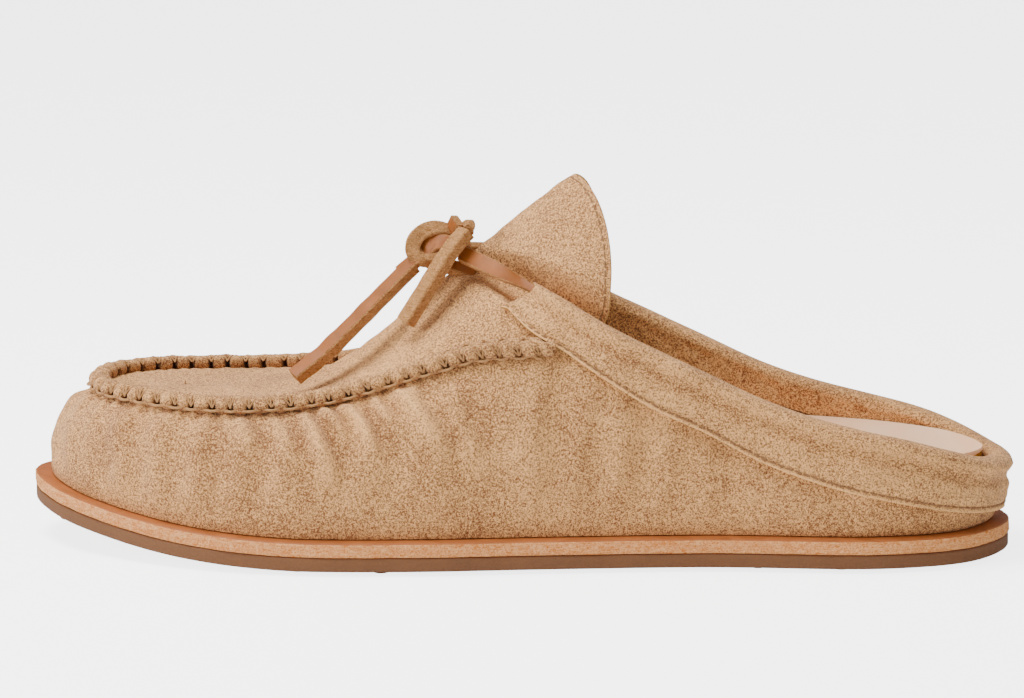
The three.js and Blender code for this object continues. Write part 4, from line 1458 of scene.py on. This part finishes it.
vampLiningP = np.linspace(vampFrom, vampTo, 220)
vampLiningTop = topOf(vampLiningP, 2.0)
liningSheet("vampLiningLook", vampLiningP, vampLiningTop, [liningSkin], "vamp_lining")
quarterP = np.linspace(vampTo - 1 + 2 * shoe["gap"] / perimeter, vampFrom - 2 * shoe["gap"] / perimeter, 220)


def quarterLiningTop(p):
    blend = smooth(welt(p), lines["quarterStep"] - 0.06, lines["quarterStep"] - 0.01)
    high = crossing(p, collarTopAt)
    return mix(high - share(p, high, laceDrop + shoe["slack"]), topOf(p, 2.0), blend)


quarterLiningEdge = quarterLiningTop(quarterP)
liningSheet(
    "quarterLiningLook", quarterP, quarterLiningEdge, [suedeInside], "quarter_lining"
)
print("walls made")

# ---- the leather over the instep and its tongue: one soft piece, bent along the hinge

instep = {
    "rows": 54,
    "lumps": 0.22,
    "dish": 1.1,
    "creases": 0.5,
    "liningThick": 1.5,
    "creaseWide": 1.7,
    "creaseRun": 5.0,
}


def placeRow(stations, side):
    # p for columns of stations, one row: stations beyond the apron's sides fan round its front
    start = roundTo(lines["apronStart"], side)
    fan = np.maximum(stations - 1, 0)
    flat = roundTo(np.minimum(stations, lines["apronStart"]), side)
    return np.where(stations > 1, mix(start, 0.5, fan), flat)


def tongueEdge(side, w):
    # the tongue's edge bows back on the outer side and less on the inner side
    bow = 0.0135 if side < 0 else -0.004
    return mix(lines["tongueSide"], lines["tongueTip"], w) - bow * np.sin(np.pi * np.asarray(w) ** 0.65)


def instepStations(side, w):
    # columns from the tongue's edge to the toe; values over 1 fan round the toe
    tip = tongueEdge(side, w)
    first = tip + (lines["tongueLine"] - tip) * np.linspace(0, 1, 56)
    second = np.linspace(lines["tongueLine"], lines["apronStart"], 130)[1:]
    third = 1 + np.linspace(0, 1, 46)[1:]
    return np.concatenate([first, second, third])


def instepLow(p):
    top = crossing(p, collarTopAt)
    wing = top - share(p, top, lines["tongueWing"])
    t = seamAt(p)
    plug = t + share(p, t, seamGap)
    return mix(wing, plug, smooth(welt(p), *lines["wingEnds"]))


instepLump = waves(24, seed=14)
instepFine = waves(7, seed=15)


def instepRelief(p, t):
    at = formPoint(p, t)
    low = instepLow(p)
    inset = (t - low) / np.maximum(share(p, t, 1.0), 1e-9)
    value = (instepLump(at) * 1.2 + instepFine(at) * 0.45) * instep["lumps"] * smooth(inset, 0.5, 7)
    # a shallow dish inside the seam, and short gathers by it
    ahead = smooth(welt(p), *lines["dishStart"])
    value -= ahead * instep["dish"] * smooth(inset, 2, 16)
    r = np.random.default_rng(4)
    run = np.mod(p, 1) * perimeter
    for m in np.arange(0, perimeter, skin["pleatPitch"]):
        d = (run - m - r.normal(0, 0.5)) / instep["creaseWide"]
        depth = instep["creases"] * r.uniform(0.3, 1)
        fade = np.exp(-((inset / instep["creaseRun"]) ** 2))
        value += depth * np.exp(-d * d) * fade * smooth(welt(p), *lines["creasesStart"])
    return value


def makeInstep():
    rows = instep["rows"]

    def half(side, layer):
        found = []
        for w in np.linspace(0, 1, rows):
            stations = instepStations(side, w)
            p = placeRow(stations, side)
            low = instepLow(p)
            t = mix(low, 1, w)
            base = tuck(p, t)
            found.append(onForm(p, t, base + instepRelief(p, t) - (0 if layer else instep["liningThick"])))
        return np.stack(found, 1)

    def both(layer):
        a, b = half(-1, layer), half(1, layer)
        ridge = (a[:, -1:] + b[:, -1:]) / 2
        return np.concatenate([a[:, :-1], ridge, b[:, :-1][:, ::-1]], 1)

    outer, inner = both(True), both(False)
    return sheetPiece("instepLook", outer, inner, [suedeTan, suedeInside, rawEdge], capEnd=False, merge=0.02)


instepLook = makeInstep()
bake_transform(instepLook)
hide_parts("apron", "apron_lining", "tongue", "tongue_lining")
print("instep made")

# ---- collar band, rolled over the lace

collar = {
    "columns": 520,
    "legRows": 40,
    "archRows": 14,
    "innerRows": 16,
    "innerLeg": 11.0,
    "roll": 1.1,
    "rollAt": 2.4,
    "rollWide": 2.4,
    "valley": 1.35,
    "valleyAt": 7.4,
    "valleyWide": 1.7,
    "edge": 0.3,
    "edgeWide": 0.7,
    "welt": 0.2,
    "weltAt": 3.4,
    "weltWide": 1.3,
    "stitchDip": 0.4,
    "stitchWide": 0.55,
    "stitchUp": 1.35,
    "lumps": 0.35,
    "dip": 4.6,
    "dipFrom": 0.92,
}
bend = (bandOut - bandInnerIn) / 2


def collarPlace(s):
    s = np.asarray(s, float)
    found = {}
    for side in (-1, 1):
        onward = np.abs(2 * s - 1)
        top, foot = roundTo(lines["collarFrontTop"], side), roundTo(lines["collarFrontFoot"], side)
        travel = top if side < 0 else 1 - top
        lead = (foot if side < 0 else 1 - foot) - travel
        p = travel * onward
        footP = p + lead * smooth(onward, 0.55, 1)
        found[side] = (p, footP) if side < 0 else (-p, -footP)
    left = s < 0.5
    return np.where(left, found[-1][0], found[1][0]), np.where(left, found[-1][1], found[1][1])


collarLump = waves(19, seed=22)
collarFine = waves(7, seed=23)


def collarRelief(at, below, above):
    # below is the distance from the topline and above the distance from the stitched edge

    def hump(x, width):
        return np.exp(-((x / width) ** 2))

    value = collar["roll"] * hump(below - collar["rollAt"], collar["rollWide"])
    value -= collar["valley"] * hump(below - collar["valleyAt"], collar["valleyWide"]) * smooth(above, 2, 8)
    value += (collarLump(at) * 1.1 + collarFine(at) * 0.5) * collar["lumps"] * smooth(above, 1, 6)
    value -= collar["stitchDip"] * hump(above - collar["stitchUp"], collar["stitchWide"])
    value += collar["edge"] * hump(above, collar["edgeWide"])
    value += collar["welt"] * hump(above - collar["weltAt"], collar["weltWide"])
    return notBelow(value, -thinnest * shoe["band"])


def collarToneAndPaintedLight(below, above):
    # a pale raw edge, lighter all over, painted shade along the line of stitches, a painted highlight on the
    # roll and painted shade in the hollow under it
    value = 0.14 + 0.75 * np.exp(-((above / 0.75) ** 2))
    value -= 0.34 * np.exp(-(((above - collar["stitchUp"]) / 0.45) ** 2))
    value += 0.18 * np.exp(-(((below - collar["rollAt"]) / 2.2) ** 2))
    value -= 0.26 * np.exp(-(((below - collar["valleyAt"]) / 1.8) ** 2))
    return value


def collarFootT(s, pFoot):
    # the stitched edge dips towards the cut front end
    t = crossing(pFoot, collarFootAt)
    dip = collar["dip"] * smooth(np.abs(2 * s - 1), collar["dipFrom"], 1)
    return t - share(pFoot, t, 1.0) * dip


def makeCollar():
    s = np.linspace(0, 1, collar["columns"])
    s = mix(s, 0.5 - 0.5 * np.cos(np.pi * s), 0.35)
    pTop, pFoot = collarPlace(s)
    topT, footT = crossing(pTop, collarTopAt), collarFootT(s, pFoot)
    one = share(pTop, topT, 1.0)
    shoulder = topT - one * bend * 0.9

    def leg(base, relief):
        w = np.linspace(0, 1, collar["legRows"])[None, :] ** 0.9
        p = pFoot[:, None] + (pTop - pFoot)[:, None] * w
        t = footT[:, None] + (shoulder - footT)[:, None] * w
        at = onForm(p, t, base)
        if not relief:
            return at, None
        run = np.linalg.norm(np.diff(at, axis=1), axis=-1)
        above = np.concatenate([np.zeros((len(s), 1)), np.cumsum(run, 1)], 1)
        below = above[:, -1:] - above + bend * 0.9
        return onForm(p, t, base + collarRelief(at, below, above)), collarToneAndPaintedLight(below, above)

    def arch(radius, lift, relief):
        a = np.linspace(0, np.pi, collar["archRows"] + 2)[1:-1][None, :]
        t = shoulder[:, None] + one[:, None] * lift * np.sin(a)
        p = np.broadcast_to(pTop[:, None], t.shape)
        at = onForm(p, t, 0)
        lump = relief * collarLump(at) * collar["lumps"]
        swell = relief * collar["roll"] * 0.75 * np.cos(a / 2) ** 2
        return onForm(p, t, (bandOut + bandInnerIn) / 2 + (radius + lump + swell) * np.cos(a))

    floor = crossing(pTop, lambda st: footbedBottom + 3 + spring(xAt(st)))

    def inside(base, relief):
        w = np.linspace(0, 1, collar["innerRows"])[None, :]
        low = np.maximum(floor, topT - one * collar["innerLeg"])
        t = shoulder[:, None] + (low - shoulder)[:, None] * w
        p = np.broadcast_to(pTop[:, None], t.shape)
        at = onForm(p, t, base)
        return onForm(p, t, base + relief * collarFine(at) * collar["lumps"] * 0.6 * smooth(w, 0, 0.2))

    front, toneAndPaintedLight = leg(bandOut, True)
    outer = np.concatenate([front, arch(bend, bend * 0.9, 1), inside(bandInnerIn, 1)], 1)
    thin = bend - shoe["band"]
    hidden = leg(shoe["slack"] * 0.6, False)[0]
    inner = np.concatenate([hidden, arch(thin, bend * 0.9 - shoe["band"], 0), inside(bandInnerOut, 0)], 1)
    toneAndPaintedLight = np.concatenate([toneAndPaintedLight, np.zeros((len(s), outer.shape[1] - toneAndPaintedLight.shape[1]))], 1)
    return sheetPiece("collarLook", outer, inner, [suedeTan, suedeInside, rawEdge], toneAndPaintedLight=toneAndPaintedLight, sharp=60)


collarLook = makeCollar()
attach(collarLook, "shoe")
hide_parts("collar_band")


def stitchRow(name, line, normal, pitch, run, radius, hump, mat, sink=0.12):
    # short strands along a line, each dipping into the leather at its ends
    total = along(line)
    runs, at = [], pitch * 0.5
    r = np.random.default_rng(len(name))
    while at + run < total[-1]:
        w = np.linspace(at, at + run, 7)
        part = np.stack([np.interp(w, total, line[:, k]) for k in range(3)], 1)
        n = unit(np.stack([np.interp(w, total, normal[:, k]) for k in range(3)], 1))
        rise = (np.sin(np.linspace(0, np.pi, 7)) * hump - sink)[:, None]
        runs.append(threadRun(part + n * rise))
        at += pitch * r.uniform(0.94, 1.06)
    return straps(name, runs, roundProfile(radius, 6), [mat])


def makeCollarStitches():
    s = np.linspace(0.002, 0.998, 900)
    foot = collarPlace(s)[1]
    t = collarFootT(s, foot)
    at = t + share(foot, t, collar["stitchUp"])
    line = onForm(foot, at, bandOut - 0.16)
    return stitchRow("collarStitchLook", line, formFrame(foot, at)[0], 2.5, 1.75, 0.27, 0.3, stitchThread)


collarStitchLook = makeCollarStitches()
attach(collarStitchLook, "shoe")
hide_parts("collar_stitching")


def makeTongueStitches():
    inset = 1.6
    halves = []
    for side in (-1, 1):
        w = np.linspace(0.02, 1, 160)

        def at(off):
            stations = tongueEdge(side, w) + off
            p = np.where(stations > 0, roundTo(stations, side), 0)
            t = mix(instepLow(p), 1, w)
            return p, t, onForm(p, t, tuck(p, t) + instepRelief(p, t))

        probe = 1e-3
        reach = np.linalg.norm(at(probe)[2] - at(0.0)[2], axis=1) / probe
        p, t, line = at(np.minimum(inset / np.maximum(reach, 1), 0.02))
        halves.append((line, formFrame(p, t)[0]))
    line = np.concatenate([halves[0][0], halves[1][0][::-1]])
    normal = np.concatenate([halves[0][1], halves[1][1][::-1]])
    line = resample(line, 0.5)
    newAt, oldAt = np.linspace(0, 1, len(line)), np.linspace(0, 1, len(normal))
    normal = np.stack([np.interp(newAt, oldAt, normal[:, k]) for k in range(3)], 1)
    return stitchRow("tongueStitchLook", line, unit(normal), 2.6, 1.8, 0.26, 0.3, stitchThread)


tongueStitchLook = makeTongueStitches()
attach(tongueStitchLook, "tongue_flap")
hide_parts("tongue_stitching")
print("collar and stitches made")

# ---- moccasin seam: a gathered ridge with a zigzag of thread over it

seam = {
    "pitch": 5.7,
    "step": 0.34,
    "rows": 26,
    "across": 2.95,
    "high": 2.5,
    "lift": 2.1,
    "groove": 1.2,
    "thread": 0.42,
}


def seamPlaces():
    a, b = roundTo(lines["seamEnd"], -1), roundTo(lines["seamEnd"], 1)
    p = np.linspace(a, b, 3000)
    run = along(onForm(p, seamAt(p), seam["lift"]))
    n = int(run[-1] / seam["step"])
    even = np.linspace(0, run[-1], n)
    return np.interp(even, run, p), even


def makeSeam():
    p, run = seamPlaces()
    t = seamAt(p)
    normal, around, up = formFrame(p, t)
    center = onForm(p, t, seam["lift"])
    r = np.random.default_rng(9)
    u0 = (run + waves(14, seed=41)(center) * 0.35) / seam["pitch"]
    size = 1 + 0.05 * waves(9, seed=42)(center)
    close = smooth(np.minimum(run, run[-1] - run), 0, 7)
    size = size * mix(0.8, 1.0, close)
    angle = np.linspace(-0.3 * np.pi, 1.3 * np.pi, seam["rows"])[None, :]
    # 0 on the vamp's side at the bottom, 1 on the plug's side
    h = np.clip(angle / np.pi, 0, 1)
    low, lift = np.cos(angle), np.sin(angle)
    u = u0[:, None]

    def near(v):
        return np.abs(v - np.round(v)) * seam["pitch"]

    number = np.clip(np.round(u0).astype(int), 0, None)
    power = r.uniform(0.75, 1.25, number.max() + 2)[number][:, None]

    def fan(at, onward):
        # creases that fan out from the holes; onward is 0 at the hole and 1 where they end
        fade = np.clip(1 - onward, 0, 1) ** 0.8
        wide = 0.45 + 0.35 * onward
        found = np.exp(-((near(at) / wide) ** 2)) * 0.8
        for way in (-1, 1):
            found = found + np.exp(-((near(at + way * 0.36 * onward) / wide) ** 2)) * 0.8
        return np.minimum(found, 1.25) * fade

    vampFan = fan(u, h / 0.62)
    plugFan = fan(u + 0.5, (1 - h) / 0.5)
    groove = (vampFan + plugFan) * seam["groove"] * power
    holeLow = np.exp(-((near(u) / 0.8) ** 2)) * np.exp(-(((h - 0.02) / 0.13) ** 2))
    holeHigh = np.exp(-((near(u + 0.5) / 0.7) ** 2)) * np.exp(-(((h - 0.98) / 0.12) ** 2))
    puff = 0.16 * np.sin(np.pi * near(u) / seam["pitch"]) ** 2 * (1 - h)
    radius = size[:, None] * (1 + puff) - (groove + 0.9 * (holeLow + holeHigh)) / seam["high"]
    ring = center[:, None] + (
        -up[:, None] * (low * seam["across"] * radius)[..., None]
        + normal[:, None] * (lift * seam["high"] * radius)[..., None]
    )
    ring = ring + normal[:, None] * (waves(3.2, seed=43)(ring) * 0.1)[..., None]
    # painted shade: darker in the stitch holes, along the creases that fan out from them and at both bases
    # of the ridge, and a little darker all over the ridge
    base = 0.3 * np.exp(-((h / 0.1) ** 2)) + 0.4 * np.exp(-(((1 - h) / 0.12) ** 2))
    dark = 0.95 * holeLow + 0.7 * holeHigh + 0.42 * np.minimum(groove / seam["groove"], 1) + base + 0.06
    dark = np.clip(dark, 0, 1)
    n, rows = ring.shape[:2]
    i, k = np.meshgrid(np.arange(n - 1), np.arange(rows), indexing="ij")
    i, k = i.ravel(), k.ravel()
    j = (k + 1) % rows
    faces = np.stack([i * rows + k, i * rows + j, (i + 1) * rows + j, (i + 1) * rows + k], 1)
    turned = outwards(ring.reshape(-1, 3), faces)
    flip = -1 if turned is faces else 1
    caps = [list(range(rows))[::flip], list(range((n - 1) * rows, n * rows))[::-flip]]
    piece = makeMesh("mocSeamLook", ring, turned.tolist() + caps, [suedeTan], None, 0.0, 60, dark)

    def onRing(runAt, a, out):
        # a place on the ridge: how far along, the angle over it and how far off its skin
        frames = (center, normal, up)
        c, nn, uu = (np.stack([np.interp(runAt, run, v[:, k]) for k in range(3)], 1) for v in frames)
        g = np.interp(runAt, run, size)
        away = c - uu * (np.cos(a) * (seam["across"] * g + out))[:, None]
        return away + nn * (np.sin(a) * (seam["high"] * g + out))[:, None]

    # strands lie in the creases on both sides, and a thread runs along the lower base
    runs = []
    w = np.linspace(0, 1, 9)
    for m in range(int(u0[0]) + 1, int(u0[-1])):
        for way in (-1, 0, 1):
            top = r.uniform(0.4, 0.58)
            v = m + way * w * 0.3 + r.normal(0, 0.02)
            at = np.interp(v, u0, run)
            runs.append(threadRun(onRing(at, (0.01 + w * top) * np.pi, -0.3 - 0.2 * np.sin(np.pi * w))))
            if way:
                at = np.interp(v + 0.5, u0, run)
                sunk = -0.28 - 0.15 * np.sin(np.pi * w)
                runs.append(threadRun(onRing(at, (0.99 - w * top * 0.8) * np.pi, sunk)))
    strands = straps("seamStrands", runs, roundProfile(seam["thread"] * 0.62, 6), [seamThread])
    inner = (run > 5) & (run < run[-1] - 5)
    scallop = 0.4 * np.cos(2 * np.pi * u0)
    line = onRing(run, np.full(len(run), -0.1 * np.pi), 0.0)
    line = line - up * (0.45 + scallop)[:, None] + normal * 0.25
    base = straps("seamBaseThread", [threadRun(line[inner])], roundProfile(seam["thread"], 7), [seamThread])
    for part, slot in ((piece, "suede"), (strands, "thread"), (base, "thread")):
        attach(part, "shoe")
    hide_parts("moc_seam_cord")


makeSeam()
print("moccasin seam made")

# ---- lace: round the collar, up to the knot, and the knot itself


def laceTunnel():
    s = np.linspace(0, 1, 420)
    p = collarPlace(s)[0]
    top = crossing(p, collarTopAt)
    t = top - share(p, top, shoe["band"] + shoe["slack"] * 2 + shoe["lacing"][0] / 2)
    normal, around, up = formFrame(p, t)
    return onForm(p, t, (bandOut + bandInnerIn) / 2), normal, up


def makeLace():
    line, flat, wide = laceTunnel()
    parts = []
    for end in (0, -1):
        start = line[end]
        lead = unit(start - line[4 if end == 0 else -5])
        side = np.sign(start[1])
        atKnot = knotAt + np.array([7.5, side * 4.5, -1.0])
        p = np.array(roundTo(lines["tongueLine"] + 0.01, int(side)))
        over = formFrame(p, np.array(0.85))[0]
        bulge = (start + atKnot) / 2 + over * (2.6 if side < 0 else 5)
        curve = curveLine([start, start + lead * 7, bulge, atKnot], 0.6)[1:]
        w = np.linspace(0, 1, len(curve))[:, None]
        face = mix(flat[end][None, :], over[None, :], smooth(w, 0.3, 0.8))
        way = tangents(curve)
        face = unit(face - way * (face * way).sum(-1, keepdims=True))
        across = np.cross(face, way)
        across = across * np.where((across @ wide[end]) < 0, -1.0, 1.0)[:, None]
        across = unit(mix(wide[end][None, :], across, smooth(w, 0.2, 0.7)))
        parts.append((curve, face, across))
    a, b = parts
    pts = np.concatenate([a[0][::-1], line, b[0]])
    face = np.concatenate([a[1][::-1], flat, b[1]])
    side = np.concatenate([a[2][::-1], wide, b[2]])
    profile, kinds = laceProfile()
    run = (pts, face, side, np.ones(len(pts)))
    piece = straps("laceLook", [run], profile, [russetGrain, laceFlesh], kinds)
    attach(piece, "shoe")
    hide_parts("lace")


makeLace()

# strands of the knot, as offsets from its middle, with the way the grain side faces at each end
knotStrands = {
    "loop": {
        "points": [
            (4, 1.5, 1.5),
            (2.5, 0, 5),
            (-1.5, -1.5, 6.1),
            (-5.6, -2.8, 4.6),
            (-7.4, -3.6, 1.2),
            (-6, -4, -2),
            (-2.6, -4, -2.9),
            (2, -2.6, -1.6),
        ],
        "first": (-0.2, 0.5, -1),
        "last": (0.1, 0.5, 1),
    },
    "through": {
        "points": [
            (8.5, -3, -1),
            (4.6, -3.6, 1.4),
            (0.6, -3.2, 2.2),
            (-3.6, -2.6, -0.6),
            (-8, -2.6, -4.2),
            (-11.4, -2.6, -7),
        ],
        "first": (-0.1, -0.9, 0.4),
        "last": (-0.5, -0.62, 0.62),
    },
    "inside": {
        "points": [(4, 0.5, 4.4), (0.8, -1.6, 4), (-2.4, -2.6, 1.2), (-4.4, -2.2, -2.6)],
        "first": (-0.3, -0.9, 0.3),
        "last": (-0.6, -0.7, 0.3),
    },
    "behind": {
        "points": [(8, 4.2, -1), (2, 3.6, 1.4), (-3.4, 2.2, 1), (-5.5, 1, -1.4)],
        "first": (0, 0.2, 1),
        "last": (-0.6, -0.2, 0.8),
    },
    "under": {
        "points": [(-4, 1, -3.6), (0.5, 1.5, -5.2), (5, 2, -6.2), (10, 2.6, -8)],
        "first": (-0.2, -0.4, 0.9),
        "last": (0.3, -0.6, 0.7),
    },
    "bridge": {
        "points": [(3, 3, 0.5), (6.4, 1.5, 4.2), (9, -2.5, 6.8), (8.5, -6, 6)],
        "first": (0.6, 0.2, 0.6),
        "last": (0.7, 0.65, -0.3),
    },
    "tab": {
        "points": [(2.5, 1, 3.5), (4.2, 0.2, 6.2), (5.4, -0.8, 8.6)],
        "first": (-0.6, -0.7, 0.3),
        "last": (-0.6, -0.7, 0.3),
    },
}


def makeKnot():
    runs = []
    for strand in knotStrands.values():
        line = curveLine([knotAt + np.array(o) for o in strand["points"]], 0.5)
        run = laceRun(line, strand["first"], strand["last"])
        runs.append((run[0], run[1], run[2], np.full(len(line), 0.94)))
    profile, kinds = laceProfile()
    piece = straps("knotLook", runs, profile, [russetGrain, laceFlesh], kinds)
    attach(piece, "shoe")
    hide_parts("lace_knot")


makeKnot()
print("lace made")

# ---- inner pieces that stay as they are


def dress(obj, mat):
    # a plain inner piece keeps its shape and gets a worked finish
    mesh = obj.data
    if "place" not in mesh.attributes:
        co = np.zeros(len(mesh.vertices) * 3)
        mesh.vertices.foreach_get("co", co)
        mesh.attributes.new("place", "FLOAT_VECTOR", "POINT").data.foreach_set("vector", co / mm)
    mesh.materials.clear()
    mesh.materials.append(mat)


for node, mat in {
    "bottom_filler": corkBody,
    "footbed": corkBody,
    "shank": shankSteel,
    "insole_board": boardBody,
    "toe_puff": stiffenerBody,
    "heel_counter": stiffenerBody,
}.items():
    dress(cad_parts[node], mat)
